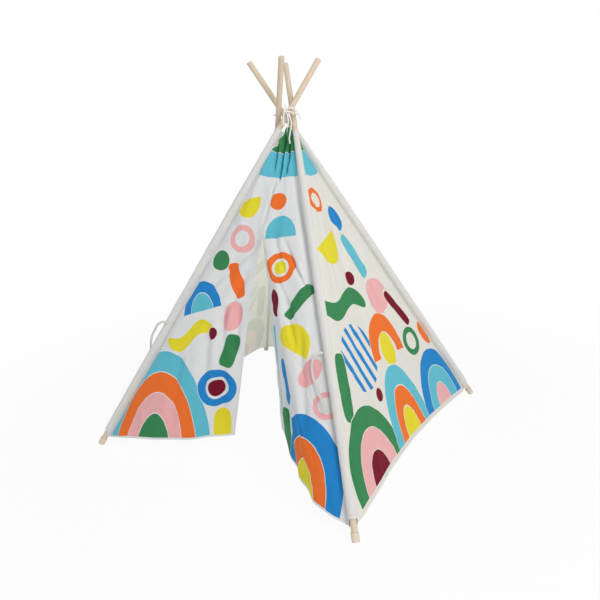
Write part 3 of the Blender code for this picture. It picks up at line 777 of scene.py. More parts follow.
def lay_sheet(
    name: str,
    cells: tuple[int, int],
    point: Callable[[float, float], Vector],
    cut: Callable[[float, float], tuple[float, float]],
    edge: Callable[[float, float], tuple[float, float]],
) -> bpy.types.Object:
    """A sheet shaped from a flat grid.

    Args:
        name: The piece's name.
        cells: How many cells the grid has each way.
        point: The place of a grid point, from 0 to 1 each way.
        cut: Its place on the flat cloth, in metres.
        edge: Its distance to the seam and to the hem, in metres.

    Returns:
        The sheet, with no thickness yet.
    """
    bpy.ops.object.select_all(action="DESELECT")
    bpy.ops.mesh.primitive_grid_add(x_subdivisions=cells[0], y_subdivisions=cells[1], size=1.0)
    piece = bpy.context.object
    piece.name = name
    mesh = piece.data
    flat = [(v.co.x + 0.5, v.co.y + 0.5) for v in mesh.vertices]
    for vertex, (u, v) in zip(mesh.vertices, flat):
        vertex.co = point(u, v)
    mesh.uv_layers[0].name = "cut"
    mesh.uv_layers.new(name="edge")
    cuts = [cut(u, v) for u, v in flat]
    edges = [edge(u, v) for u, v in flat]
    for loop in mesh.loops:
        mesh.uv_layers["cut"].data[loop.index].uv = cuts[loop.vertex_index]
        mesh.uv_layers["edge"].data[loop.index].uv = edges[loop.vertex_index]
    return piece


def face_out(piece: bpy.types.Object, outward: Vector) -> None:
    """Flips the sheet if it looks the other way than outward.

    Args:
        piece: The sheet.
        outward: The way that it has to look.
    """
    total = sum((p.normal * p.area for p in piece.data.polygons), Vector())
    if total.dot(outward) < 0:
        bpy.context.view_layer.objects.active = piece
        bpy.ops.object.mode_set(mode="EDIT")
        bpy.ops.mesh.select_all(action="SELECT")
        bpy.ops.mesh.flip_normals()
        bpy.ops.object.mode_set(mode="OBJECT")


def weld(capped: bool) -> None:
    """Joins the seam of the active tube, closes its ends if capped, and turns it outside out.

    Args:
        capped: Whether its ends are closed.
    """
    bpy.ops.object.mode_set(mode="EDIT")
    bpy.ops.mesh.select_all(action="SELECT")
    bpy.ops.mesh.remove_doubles(threshold=WELD_WITHIN)
    if capped:
        bpy.ops.mesh.select_all(action="DESELECT")
        bpy.ops.mesh.select_non_manifold()
        bpy.ops.mesh.fill_holes(sides=0)
        bpy.ops.mesh.select_all(action="SELECT")
    bpy.ops.mesh.normals_make_consistent(inside=False)
    bpy.ops.object.mode_set(mode="OBJECT")


def thicken(
    piece: bpy.types.Object, thick: float, offset: float = 0.0, inner_slot: int = 0
) -> None:
    """Gives a sheet its thickness and smooth shading.

    Args:
        piece: The sheet.
        thick: Its thickness in metres.
        offset: Where the thickness goes: -1 inwards, 0 both ways.
        inner_slot: How many material slots further the inner side lies.
    """
    bpy.ops.object.select_all(action="DESELECT")
    piece.select_set(True)
    bpy.context.view_layer.objects.active = piece
    bpy.ops.object.modifier_add(type="SOLIDIFY")
    solid = piece.modifiers[-1]
    solid.thickness = thick
    solid.offset = offset
    solid.material_offset = inner_slot
    bpy.ops.object.modifier_apply(modifier=solid.name)
    bpy.ops.object.shade_smooth_by_angle(angle=math.radians(50))


@dataclass
class Leg:
    """One pole's line and its axes: across (level), inward and along."""

    name: str
    word: str
    joint: str
    foot: Vector
    pivot: Vector
    along: Vector = field(init=False)
    across: Vector = field(init=False)
    inward: Vector = field(init=False)
    reach: float = field(init=False)

    def __post_init__(self) -> None:
        """Works out the axes."""
        self.reach = (self.pivot - self.foot).length
        self.along = (self.pivot - self.foot).normalized()
        side = UP.cross(self.foot).normalized()
        self.across = (side - self.along * side.dot(self.along)).normalized()
        self.inward = self.along.cross(self.across)

    @property
    def body(self) -> str:
        """The name of the body that the pole belongs to."""
        return f"leg_{self.word}"

    def at(self, start: float, p: float = 0.0, q: float = 0.0) -> Vector:
        """The point start along the pole, p across and q outward."""
        return self.foot + self.along * start + self.across * p - self.inward * q


@dataclass
class Stance:
    """The four legs, from the frame's joints."""

    base_span: float = BASE_SPAN
    legs: dict[str, Leg] = field(default_factory=dict)

    def read(self, joints: Iterable[dict]) -> None:
        """Takes each leg's pivot from its fold joint.

        Args:
            joints: The frame's joints.
        """
        half = self.base_span / 2
        corners = {
            "fl": ("front_left", -half, -half),
            "fr": ("front_right", half, -half),
            "br": ("back_right", half, half),
            "bl": ("back_left", -half, half),
        }
        by_child = {j["child"]: j for j in joints}
        for name, (word, x, y) in corners.items():
            joint = by_child[f"leg_{word}"]
            pivot = Vector(joint["pos_m"])
            self.legs[name] = Leg(name, word, joint["name"], Vector((x, y, 0)), pivot)


@dataclass
class Canvas:
    """The cloth of the walls, the sizes that its pieces share, and how it hangs."""

    stance: Stance
    thick: float = 0.0012
    sleeve_wide: float = 0.0185
    sleeve_deep: float = 0.0139
    sleeve_half: float = 0.0150
    sleeve_out: float = 0.0160
    sleeve_in: float = 0.0215
    seam_inside: tuple[float, float] = (0.0052, 0.0186)
    tuck_reach: float = 0.060
    seam_gap: float = 0.0002
    seam_turn: float = math.radians(25)
    corner_start: float = 0.050
    hem_rise: float = 0.032
    top_below_pivot: float = 0.072
    sag: float = 0.024
    fold_depth: float = 0.0050
    keep_folded: float = 0.178
    drape_depth: float = 0.0048
    pull_depth: float = 0.0026
    fine_depth: float = 0.0009
    pinch_depth: float = 0.0022
    ridge_depth: float = 0.0034

    def sleeve_width(self, leg: Leg, start: float) -> float:
        """Half the width of a sleeve, which is drawn in towards the crossing."""
        return self.sleeve_wide * (1 - 0.25 * eased((start - leg.reach + 0.42) / 0.34))

    def seam(self, leg: Leg, side: int, start: float) -> Vector:
        """Where a wall meets the sleeve, on the side of the next pole (1) or the last (-1).

        Args:
            leg: The pole in the sleeve.
            side: 1 or -1.
            start: How far up the pole.

        Returns:
            The point.
        """
        p = (self.sleeve_width(leg, start) + self.seam_gap) * math.cos(self.seam_turn)
        q = -(self.sleeve_deep + self.seam_gap) * math.sin(self.seam_turn)
        return leg.at(start, side * p, q)

    def tuck(self, leg: Leg, side: int, start: float, from_seam: float) -> Vector:
        """How far a wall is drawn in beside its sleeve, which it meets on the inner side.

        Args:
            leg: The pole in the sleeve.
            side: 1 on the side of the next pole, -1 on that of the last.
            start: How far up the pole.
            from_seam: How far from the seam.

        Returns:
            The way from the even wall to the drawn-in one.
        """
        drawn = self.sleeve_width(leg, start) / self.sleeve_wide
        p, q = (drawn * at for at in self.seam_inside)
        share = max(0.0, 1 - from_seam / self.tuck_reach)
        return (leg.at(start, side * p, -q) - self.seam(leg, side, start)) * share**1.6

    def flat(self, first: Leg, last: Leg, w: float, start: float) -> Vector:
        """A point of the flat wall, w across it."""
        return mixed(self.seam(first, 1, start), self.seam(last, -1, start), w)

    def inward(self, first: Leg, last: Leg) -> Vector:
        """The inward normal of a wall.

        Args:
            first: The wall's first pole.
            last: Its last pole.

        Returns:
            The normal, one long.
        """
        level = self.seam(last, -1, 0) - self.seam(first, 1, 0)
        normal = level.cross(first.along + last.along).normalized()
        return -normal if normal.dot(first.foot + last.foot) > 0 else normal

    def clear_of_seams(self, w: float) -> float:
        """0 at both sides of a wall, 1 away from them, w across it."""
        return eased(min(1.0, 18 * min(w, 1 - w)))

    def folds(self, w: float, f: float, phase: float) -> float:
        """The main folds, w across and f up the wall.

        Args:
            w: How far across.
            f: How far up.
            phase: Where the folds begin.

        Returns:
            The depth at that place.
        """
        window = math.sin(math.pi * w) ** 2
        depth = math.sin(math.pi * (0.15 + 0.75 * (1 - f)))
        wave = 0.6 * math.sin(2 * math.pi * 3 * w + phase)
        wave += 0.4 * math.sin(2 * math.pi * 5 * w - 1.7 * phase + 1.1 * f)
        return self.fold_depth * window * depth * wave

    def creases(self, x: float, y: float, seed: float, from_hem: float = 1.0) -> float:
        """Soft creases of slack cloth that run mostly down the slope, in metres.

        Args:
            x: Across the flat cloth.
            y: Up the slope.
            seed: Which of many patterns.
            from_hem: How far the hem is, beside which the sharp ones end.

        Returns:
            The depth at that place.
        """
        turn = x / max(0.12, TOP - y)
        away = TOP - y
        drape = rough(turn * 16, away * 1.6, seed) * min(1.0, away * 2.2)
        pull = rough(x * 8 + y * 5, y * 4 - x * 2.5, seed + 2.2)
        fine = rough(x * 24 - y * 10, y * 9 + x * 5, seed + 3.7)
        ridge = abs(rough(x * 5.5 - y * 5, y * 3.2 + x * 3, seed + 9.1))
        pinch = abs(rough(x * 9 + y * 6, y * 4.1 - x * 5, seed + 14.3))
        soft = self.drape_depth * drape + self.pull_depth * pull + self.fine_depth * fine
        sharp = self.pinch_depth * eased(1 - 9 * pinch) - self.ridge_depth * eased(1 - 7 * ridge)
        return soft + sharp * eased(from_hem / HEM_FADE)

    def pleats(self, x: float, y: float, lines: tuple) -> float:
        """Deep pleats that run out from the crossing, in metres inwards.

        Args:
            x: Across the flat cloth.
            y: Up the slope.
            lines: Each pleat's share across the wall, depth, width and length.

        Returns:
            The depth at that place.
        """
        away = max(0.05, TOP - y)
        turn = 0.5 + x / (BASE_SPAN * away / TOP)
        total = 0.0
        for at, depth, width, length in lines:
            apart = (turn - at) * BASE_SPAN * away / TOP
            wide = width * (0.35 + away)
            ends = eased((length - away) / length * 1.6)
            total += depth * math.exp(-((apart / wide) ** 2)) * ends
        return total

    def strokes(self, x: float, y: float, lines: tuple) -> float:
        """Folds that lie along straight lines of the cloth, in metres inwards.

        Args:
            x: Across the flat cloth.
            y: Up the slope.
            lines: Each fold's two ends, depth and width.

        Returns:
            The depth at that place.
        """
        past = 0.02  # metres that a fold runs on beyond its line
        fade = 40  # how fast it ends there
        total = 0.0
        for x0, y0, x1, y1, depth, width in lines:
            dx, dy = x1 - x0, y1 - y0
            length = math.hypot(dx, dy)
            along = ((x - x0) * dx + (y - y0) * dy) / length
            apart = ((x - x0) * dy - (y - y0) * dx) / length
            apart += 0.25 * width * rough(along * 14, depth * 900, 3.0)
            if abs(apart) > 3 * width or not -past < along < length + past:
                continue
            ends = eased(0.3 + along * 4 / length) * eased(0.3 + (length - along) * 4 / length)
            ends *= eased((along + past) * fade) * eased((length + past - along) * fade)
            total += depth * ends * math.exp(-((apart / width) ** 2))
        return total

    def panel_cut(self, first: Leg, last: Leg, point: Vector) -> tuple[float, float]:
        """The place of a point on the flat cloth, from the middle and up the slope.

        Args:
            first: The wall's first pole.
            last: Its last pole.
            point: The point.

        Returns:
            The two distances in metres.
        """
        middle = (first.foot + last.foot) / 2
        level = (last.foot - first.foot).normalized()
        slope = (first.pivot + last.pivot) / 2 - middle
        slope = (slope - level * slope.dot(level)).normalized()
        away = point - middle
        return away.dot(level), away.dot(slope)

    def dress(
        self, piece: bpy.types.Object, outward: Vector, finish: tuple, node: str, body: str
    ) -> None:
        """Gives a panel its two sides and puts it on its body.

        Args:
            piece: The panel's sheet.
            outward: The way that its printed side looks.
            finish: The materials of its outer and its inner side.
            node: The CAD node that it stands for.
            body: The body that it rides on.
        """
        face_out(piece, outward)
        for material in finish:
            piece.data.materials.append(material)
        area = self.cut_area(piece)
        thicken(piece, self.thick, 0.0, 1)
        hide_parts(node)
        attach(piece, body)
        self.spread(piece)
        LOG.info("%s on %s, %.3f square metres", piece.name, body, area)

    @staticmethod
    def cut_area(piece: bpy.types.Object) -> float:
        """The area of the flat cloth that a panel is made of.

        Args:
            piece: The panel's sheet.

        Returns:
            The area in square metres.
        """
        data = piece.data.uv_layers["cut"].data
        total = 0.0
        for face in piece.data.polygons:
            corners = [data[i].uv for i in face.loop_indices]
            total += abs(sum(a.cross(b) for a, b in zip(corners, corners[1:] + corners[:1]))) / 2
        return total

    @staticmethod
    def spread(piece: bpy.types.Object) -> tuple[float, float]:
        """The width and length of the smallest rectangle that a panel can be cut from.

        Args:
            piece: The panel.

        Returns:
            The two sizes in metres.
        """
        data = piece.data.uv_layers["cut"].data
        sizes = []
        for turn in range(-30, 31, 3):
            cos, sin = math.cos(math.radians(turn)), math.sin(math.radians(turn))
            xs = [d.uv.x * cos - d.uv.y * sin for d in data]
            ys = [d.uv.x * sin + d.uv.y * cos for d in data]
            sizes.append((max(xs) - min(xs), max(ys) - min(ys)))
        return min(sizes, key=lambda size: size[0] * size[1])

    def fold_up(self, piece: bpy.types.Object, leg: Leg, away: Vector) -> None:
        """Gives a panel its own copy of its mesh.

        Args:
            piece: The panel.
            leg: The pole that carries it.
            away: Any way from the pole into the panel.
        """
        axis = (away - leg.along * away.dot(leg.along)).normalized()
        tuple(leg.at(0.6))
        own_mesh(piece)


@dataclass
class SideWalls:
    """The three closed walls, each in two halves that meet down its middle."""

    canvas: Canvas
    cells: tuple[int, int] = (64, 160)
    slackness: float = 0.55
    pleats: tuple = (
        (0.20, 0.004, 0.020, 0.80),
        (0.42, 0.007, 0.022, 0.45),
        (0.66, 0.005, 0.020, 0.60),
    )
    strokes: tuple = (
        (0.034, 1.330, 0.562, 0.060, 0.0060, 0.0055),
        (-0.040, 1.320, -0.552, 0.080, 0.0045, 0.0065),
        (-0.070, 1.180, -0.330, 0.560, 0.0050, 0.0075),
        (-0.030, 1.140, -0.190, 0.680, 0.0042, 0.0080),
        (0.030, 1.060, -0.030, 0.700, 0.0038, 0.0110),
        (0.120, 0.860, 0.190, 0.380, 0.0050, 0.0200),
        (-0.300, 0.560, -0.400, 0.250, 0.0045, 0.0140),
    )

    def build(self, prints: dict[str, tuple]) -> None:
        """Makes the six halves.

        Args:
            prints: The outer and inner material of each wall.
        """
        walls = (("right", "fr", "br", 0.7), ("back", "br", "bl", 2.1), ("left", "bl", "fl", 4.0))
        for wall, first, last, phase in walls:
            for name, low in ((first, 0.0), (last, 0.5)):
                self.half(wall, first, last, name, low, phase, prints[wall])

    def half(
        self, wall: str, first: str, last: str, name: str, low: float, phase: float, finish: tuple
    ) -> None:
        """Makes one half and puts it on its pole.

        Args:
            wall: The wall's name.
            first: The name of its first pole.
            last: The name of its last pole.
            name: The pole that this half hangs on.
            low: How far across the wall this half begins, 0 or 0.5.
            phase: Where the wall's folds begin.
            finish: The materials of the outer and the inner side.
        """
        canvas = self.canvas
        legs = canvas.stance.legs
        a, b = legs[first], legs[last]
        normal = canvas.inward(a, b)
        top = a.reach - canvas.top_below_pivot
        run = top - canvas.corner_start

        def flat(u: float, v: float) -> Vector:
            """A grid point on the flat cloth, where it would hang without folds.

            Args:
                u: How far across the grid, from 0 to 1.
                v: How far up it.

            Returns:
                The point.
            """
            w = low + u / 2
            hem = canvas.corner_start + canvas.hem_rise * math.sin(math.pi * w)
            return canvas.flat(a, b, w, hem + (top - hem) * v)

        def cut(u: float, v: float) -> tuple[float, float]:
            """The grid point's place on the cut cloth, in metres."""
            return canvas.panel_cut(a, b, flat(u, v))

        def point(u: float, v: float) -> Vector:
            """The grid point's place on the finished piece.

            Args:
                u: How far across the grid, from 0 to 1.
                v: How far up it.

            Returns:
                The place.
            """
            w = low + u / 2
            x, y = cut(u, v)
            clear = canvas.clear_of_seams(w)
            depth = canvas.sag * math.sin(math.pi * w) * (1 - v) * (1 + 0.8 * v)
            depth += canvas.folds(w, v, phase)
            creases = canvas.creases(x, y, phase, v * run)
            depth += self.slackness * creases * clear * eased(12 * (1 - v))
            depth += canvas.pleats(x, y, self.pleats) * clear
            from_first = w * BASE_SPAN * (1 - y / TOP)
            from_last = (1 - w) * BASE_SPAN * (1 - y / TOP)
            ends = eased(min(from_first, from_last) / SEAM_FADE)
            depth += canvas.strokes(x, y, self.strokes) * ends * eased(v * run / HEM_FADE)
            start = canvas.corner_start + run * v
            tuck = canvas.tuck(a, 1, start, from_first)
            tuck += canvas.tuck(b, -1, start, from_last)
            return flat(u, v) + normal * depth + tuck

        def edge(u: float, v: float) -> tuple[float, float]:
            """The grid point's distance to the seam and to the hem.

            Args:
                u: How far across the grid, from 0 to 1.
                v: How far up it.

            Returns:
                The two distances in metres.
            """
            w = low + u / 2
            width = (canvas.flat(a, b, 1, 0) - canvas.flat(a, b, 0, 0)).length * (1 - v * 0.95)
            return min(w, 1 - w) * width, v * run

        node = f"canvas_{wall}_{name}"
        piece = lay_sheet(f"{wall}_wall_{legs[name].word}", self.cells, point, cut, edge)
        canvas.dress(piece, -normal, finish, node, legs[name].body)
        other = b if name == first else a
        canvas.fold_up(piece, legs[name], other.foot - legs[name].foot)


@dataclass
class Front:
    """The front wall with its slit, and the two flaps that hang inwards."""

    canvas: Canvas
    slit_height: float = 0.875
    hem_rise: float = 0.090
    hinge_inset: float = 0.075
    fold_depth: float = 0.0042
    wave_depth: float = 0.0070
    ripple_depth: float = 0.0030
    middle_gap: float = 0.0006
    corner_from: float = 0.55
    peak: float = 0.022
    corner_rise: tuple[float, float] = (0.006, 0.055)
    creases: float = 6.2
    top_share: float = 0.004
    pleats: tuple = (
        (0.52, 0.010, 0.018, 0.42),
        (0.74, 0.006, 0.014, 0.50),
        (0.27, -0.005, 0.030, 0.60),
    )
    strokes: tuple = (
        (-0.014, 1.372, -0.004, 1.215, 0.0240, 0.0050),
        (0.008, 1.376, 0.030, 1.175, 0.0420, 0.0066),
        (0.026, 1.370, 0.054, 1.200, 0.0300, 0.0055),
        (0.018, 1.200, 0.006, 0.985, 0.0090, 0.0065),
        (0.036, 1.320, 0.548, 0.090, 0.0105, 0.0070),
        (-0.036, 1.320, -0.548, 0.090, 0.0053, 0.0070),
        (0.004, 0.930, -0.215, 0.700, 0.0155, 0.0180),
        (-0.030, 0.800, -0.120, 0.560, 0.0140, 0.0180),
        (-0.105, 0.660, -0.076, 0.440, 0.0180, 0.0170),
        (-0.043, 0.680, -0.025, 0.480, 0.0155, 0.0150),
        (-0.164, 0.580, -0.124, 0.280, 0.0180, 0.0190),
        (-0.070, 0.420, -0.040, 0.140, 0.0170, 0.0190),
        (-0.270, 0.450, -0.250, 0.160, 0.0130, 0.0220),
        (0.050, 0.970, 0.150, 0.800, 0.0075, 0.0070),
        (0.100, 0.950, 0.215, 0.800, 0.0075, 0.0065),
        (0.140, 0.900, 0.260, 0.740, 0.0075, 0.0070),
        (0.190, 0.880, 0.310, 0.710, 0.0060, 0.0060),
        (0.110, 0.800, 0.230, 0.640, 0.0067, 0.0075),
        (0.160, 0.730, 0.250, 0.540, 0.0115, 0.0110),
        (0.250, 0.620, 0.350, 0.280, 0.0135, 0.0160),
        (0.110, 0.560, 0.160, 0.240, 0.0135, 0.0150),
    )
    swing: tuple[float, float] = (math.radians(54), math.radians(50))
    bend_low: tuple[float, float] = (0.340, 0.080)
    bend_high: tuple[float, float] = (0.340, 0.004)
    wall_cells: tuple[int, int] = (30, 160)
    flap_cells: tuple[int, int] = (70, 110)

    @property
    def first(self) -> Leg:
        """The left leg."""
        return self.canvas.stance.legs["fl"]

    @property
    def last(self) -> Leg:
        """The right leg."""
        return self.canvas.stance.legs["fr"]

    @property
    def top_start(self) -> float:
        """Where the wall ends, along the poles."""
        return self.first.reach - self.canvas.top_below_pivot

    def slit(self) -> Vector:
        """The upper end of the slit.

        Returns:
            The point.
        """
        low = self.canvas.flat(self.first, self.last, 0.5, self.canvas.corner_start)
        high = self.canvas.flat(self.first, self.last, 0.5, self.top_start)
        return mixed(low, high, (self.slit_height - low.z) / (high.z - low.z))

    def hem(self, w: float) -> Vector:
        """A point of the closed door's hem."""
        start = self.canvas.corner_start + self.hem_rise * math.sin(math.pi * w)
        return self.canvas.flat(self.first, self.last, w, start)

    def hinge_share(self) -> float:
        """How far across the hem the left fold line ends."""
        return self.hinge_inset / (self.hem(1) - self.hem(0)).length

    def slack(self, x: float, y: float) -> float:
        """How far the closed front lies inside its plane at a point of the cut.

        Args:
            x: Across the flat cloth.
            y: Up the slope.

        Returns:
            The depth at that place.
        """
        canvas = self.canvas
        half = BASE_SPAN / 2 * (1 - y / TOP) + 0.001
        w = max(0.0, min(1.0, 0.5 + x / half / 2))
        window = math.sin(math.pi * w) ** 2
        folds = 0.6 * math.sin(2 * math.pi * 2.5 * w + 0.8)
        folds += 0.4 * math.sin(2 * math.pi * 4.5 * w + 2 * y)
        clear = canvas.clear_of_seams(w)
        low = canvas.corner_start + self.hem_rise * math.sin(math.pi * w)
        total = self.fold_depth * window * folds
        total += canvas.creases(x, y, self.creases, y - low) * clear
        total += canvas.pleats(x, y, self.pleats) * clear
        from_seam = min(w, 1 - w) * 2 * half
        return total + canvas.strokes(x, y, self.strokes) * eased(from_seam / SEAM_FADE)

    def build(self, finish: tuple) -> None:
        """Makes both halves of the front wall and both flaps.

        Args:
            finish: The materials of the outer and the inner side.
        """
        for side, leg, word in ((-1, self.first, "left"), (1, self.last, "right")):
            self.upper(side, leg, word, finish)
            self.flap(side, leg, word, finish)

    def upper(self, side: int, leg: Leg, word: str, finish: tuple) -> None:
        """The canvas between a front pole, the middle and that side's fold line.

        Args:
            side: -1 for the left, 1 for the right.
            leg: The pole that carries it.
            word: The side as a word.
            finish: The materials of the outer and the inner side.
        """
        canvas = self.canvas
        normal = canvas.inward(self.first, self.last)
        slit = self.slit()
        share = self.hinge_share()
        foot = self.hem(share if side < 0 else 1 - share)
        edge_w = 0.0 if side < 0 else 1.0
        run = self.top_start - canvas.corner_start
        low = canvas.flat(self.first, self.last, 0.5, canvas.corner_start)
        high = canvas.flat(self.first, self.last, 0.5, self.top_start)
        slit_share = (slit.z - low.z) / (high.z - low.z)

        def flat(u: float, v: float) -> Vector:
            """A grid point on the flat cloth, where it would hang without folds.

            Args:
                u: How far across the grid, from 0 to 1.
                v: How far up it.

            Returns:
                The point.
            """
            rise = self.peak * eased((v - 0.90) / 0.10) * math.sin(math.pi / 2 * u)
            start = canvas.corner_start + run * v + rise
            outer = canvas.flat(self.first, self.last, edge_w, start)
            if v >= slit_share:
                inner = canvas.flat(self.first, self.last, 0.5, start)
            else:
                inner = mixed(foot, slit, v / slit_share)
            return mixed(outer, inner, u)

        def cut(u: float, v: float) -> tuple[float, float]:
            """The grid point's place on the cut cloth, in metres."""
            return canvas.panel_cut(self.first, self.last, flat(u, v))

        def point(u: float, v: float) -> Vector:
            """The grid point's place on the finished piece.

            Args:
                u: How far across the grid, from 0 to 1.
                v: How far up it.

            Returns:
                The place.
            """
            start = canvas.corner_start + run * v
            lies = flat(u, v)
            tuck = canvas.tuck(leg, -side, start, (lies - flat(0.0, v)).length)
            return lies + normal * self.slack(*cut(u, v)) + tuck

        def edge(u: float, v: float) -> tuple[float, float]:
            """The grid point's distance to the seam and to the hem."""
            return u * self.hinge_inset, v * run + 0.001

        piece = lay_sheet(f"front_wall_{word}", self.wall_cells, point, cut, edge)
        canvas.dress(piece, -normal, finish, f"canvas_front_{leg.name}", leg.body)
        other = self.last if side < 0 else self.first
        canvas.fold_up(piece, leg, other.foot - leg.foot)

    def bent(self, distance: float, swing: float, width: float) -> tuple[float, float]:
        """Where cloth goes that turns by swing over width: along the closed door, and in.

        Args:
            distance: How far from the fold line.
            swing: The whole turn.
            width: The width over which it turns.

        Returns:
            The distance along the closed door and the distance inwards.
        """
        steps = 24
        x = 0.0
        y = 0.0
        for k in range(steps):
            angle = swing * eased((k + 0.5) / steps * distance / width)
            x += math.cos(angle) * distance / steps
            y += math.sin(angle) * distance / steps
        return x, y

    def flap(self, side: int, leg: Leg, word: str, finish: tuple) -> None:
        """One door flap.

        Args:
            side: -1 for the left, 1 for the right.
            leg: The pole that carries it.
            word: The side as a word.
            finish: The materials of the outer and the inner side.
        """
        canvas = self.canvas
        normal = canvas.inward(self.first, self.last)
        slit = self.slit()
        share = self.hinge_share()
        foot = self.hem(share if side < 0 else 1 - share)
        line = (foot - slit).normalized()
        across = normal.cross(line).normalized()
        middle = self.hem(0.5)
        across = across if across.dot(middle - foot) > 0 else -across
        inward = line.cross(across).normalized()
        inward = inward if inward.dot(normal) > 0 else -inward
        pick = 0 if side < 0 else 1

        def way_down(v: float) -> float:
            """The share of the way from the slit's top to the hem."""
            return self.top_share + (1 - self.top_share) * (1 - v)

        def flat(u: float, v: float) -> Vector:
            """A grid point on the flat cloth, where it would hang without folds.

            Args:
                u: How far across the grid, from 0 to 1.
                v: How far up it.

            Returns:
                The point.
            """
            w = share + (0.5 - share) * u
            hem = self.hem(w if side < 0 else 1 - w)
            past = (u - self.corner_from) / (1 - self.corner_from)
            climb = self.corner_rise[pick] * eased(past) ** 2
            hem = mixed(hem, slit, climb / (hem - slit).length)
            return mixed(slit, hem, way_down(v))

        def cut(u: float, v: float) -> tuple[float, float]:
            """The grid point's place on the cut cloth, in metres."""
            return canvas.panel_cut(self.first, self.last, flat(u, v))

        def point(u: float, v: float) -> Vector:
            """The grid point's place on the finished piece.

            Args:
                u: How far across the grid, from 0 to 1.
                v: How far up it.

            Returns:
                The place.
            """
            down = way_down(v)
            lies = flat(u, v)
            edge = (middle - slit).dot(across) * down
            out = max((lies - slit).dot(across), 0.0) * (1 - min(0.5, self.middle_gap / edge))
            bend = self.bend_high[pick] + (self.bend_low[pick] - self.bend_high[pick]) * down
            x, y = self.bent(out, self.swing[pick], bend)
            angle = self.swing[pick] * eased(out / bend)
            wave = math.sin(2 * math.pi * (1.3 * u + 0.1 * down) + 0.8 * side)
            y += self.wave_depth * wave * down * u * (1 - 0.35 * u)
            ripple = math.sin(2 * math.pi * (3.1 * u + 0.25 * down) + 1.9 * side)
            rippled = self.ripple_depth * ripple * down * down * eased(4 * u)
            loose = self.slack(*cut(u, v)) + rippled
            drop = (lies - slit).dot(line)
            base = slit + line * drop + across * x + inward * y
            return base + (inward * math.cos(angle) - across * math.sin(angle)) * loose

        def edge(u: float, v: float) -> tuple[float, float]:
            """The grid point's distance to the seam and to the hem."""
            width = 0.5 * (self.hem(1) - self.hem(0)).length - self.hinge_inset
            return (1 - u) * width * (1 - v) + 0.0006, v * (slit - middle).length

        piece = lay_sheet(f"{word}_flap", self.flap_cells, point, cut, edge)
        canvas.dress(piece, -normal, finish, f"door_flap_{word}", f"flap_{word}")
        canvas.fold_up(piece, leg, across)


@dataclass
class Sleeves:
    """The canvas tubes in which the poles run."""

    canvas: Canvas
    start: float = 0.073
    corner: float = 0.050
    below_pivot: float = 0.066
    slipped: dict[str, float] = field(default_factory=lambda: {"fr": 0.013})
    wall: float = 0.0010
    loose: float = 0.0012
    crinkle: float = 0.0008
    cells: tuple[int, int] = (40, 150)

    def build(self, finish: bpy.types.Material) -> None:
        """Makes the four sleeves.

        Args:
            finish: Their material.
        """
        for leg in self.canvas.stance.legs.values():
            self.sleeve(leg, finish)

    def sleeve(self, leg: Leg, finish: bpy.types.Material) -> None:
        """Makes one sleeve and puts it on its pole.

        Args:
            leg: The pole in it.
            finish: Its material.
        """
        canvas = self.canvas
        top = leg.reach - self.below_pivot - self.slipped.get(leg.name, 0.0)
        mean_depth = (canvas.sleeve_out + canvas.sleeve_in) / 2
        round_width = math.pi * (canvas.sleeve_half + mean_depth)
        seed = leg.foot.x * 3 + leg.foot.y * 7

        def point(u: float, v: float) -> Vector:
            """The grid point's place on the finished piece.

            Args:
                u: How far across the grid, from 0 to 1.
                v: How far up it.

            Returns:
                The place.
            """
            turn = 2 * math.pi * u
            p = math.cos(turn)
            q = math.sin(turn)
            lip = eased(0.5 + q)
            low = self.corner + (self.start - self.corner) * lip
            start = low + (top - low) * v
            ease = self.loose * max(0.0, rough(start * 22, p, seed) + 0.3)
            ease += self.crinkle * max(0.0, rough(start * 70, q * 2, seed + 5))
            drawn = canvas.sleeve_width(leg, start) / canvas.sleeve_wide
            deep = (canvas.sleeve_out if q > 0 else canvas.sleeve_in) * drawn
            narrowed = 1 - 0.5 * min(0.0, q) ** 2
            wide = canvas.sleeve_half * drawn + ease
            return leg.at(start, p * narrowed * wide, q * (deep + ease))

        def cut(u: float, v: float) -> tuple[float, float]:
            """The grid point's place on the cut cloth, in metres."""
            return u * round_width, v * top

        def edge(u: float, v: float) -> tuple[float, float]:
            """The grid point's distance to the seam and to the hem."""
            return NO_EDGE, v * top

        piece = lay_sheet(f"sleeve_of_{leg.word}", self.cells, point, cut, edge)
        weld(capped=False)
        piece.data.materials.append(finish)
        thicken(piece, self.wall, -1.0)
        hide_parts(f"sleeve_{leg.name}")
        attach(piece, leg.body)
        top - self.start
        LOG.info("%s on %s", piece.name, leg.body)


@dataclass
class Woodwork:
    """The poles, their ferrules and their foot caps, which keep their solids."""

    stance: Stance
    nodes: dict[str, bpy.types.Object]

    def build(self) -> None:
        """Gives each solid its finish."""
        steel = SteelFinish().material()
        rubber = RubberFinish().material()
        for leg in self.stance.legs.values():
            axes = (leg.across, leg.inward, leg.along)
            pine = PineFinish(f"pine_{leg.word}", leg.foot, *axes).material()
            for section in ("lower", "middle", "upper"):
                self.paint(f"pole_{section}_{leg.name}", pine)
            for place in ("low", "high"):
                self.paint(f"ferrule_{place}_{leg.name}", steel)
            self.paint(f"foot_cap_{leg.name}", rubber)

    def paint(self, node: str, material: bpy.types.Material) -> None:
        """Puts a material on a CAD node.

        Args:
            node: The node's name.
            material: The material.
        """
        solid = self.nodes[node]
        if not solid.material_slots:
            solid.data.materials.append(material)
        for slot in solid.material_slots:
            slot.material = material
        LOG.info("%s in %s", node, material.name)


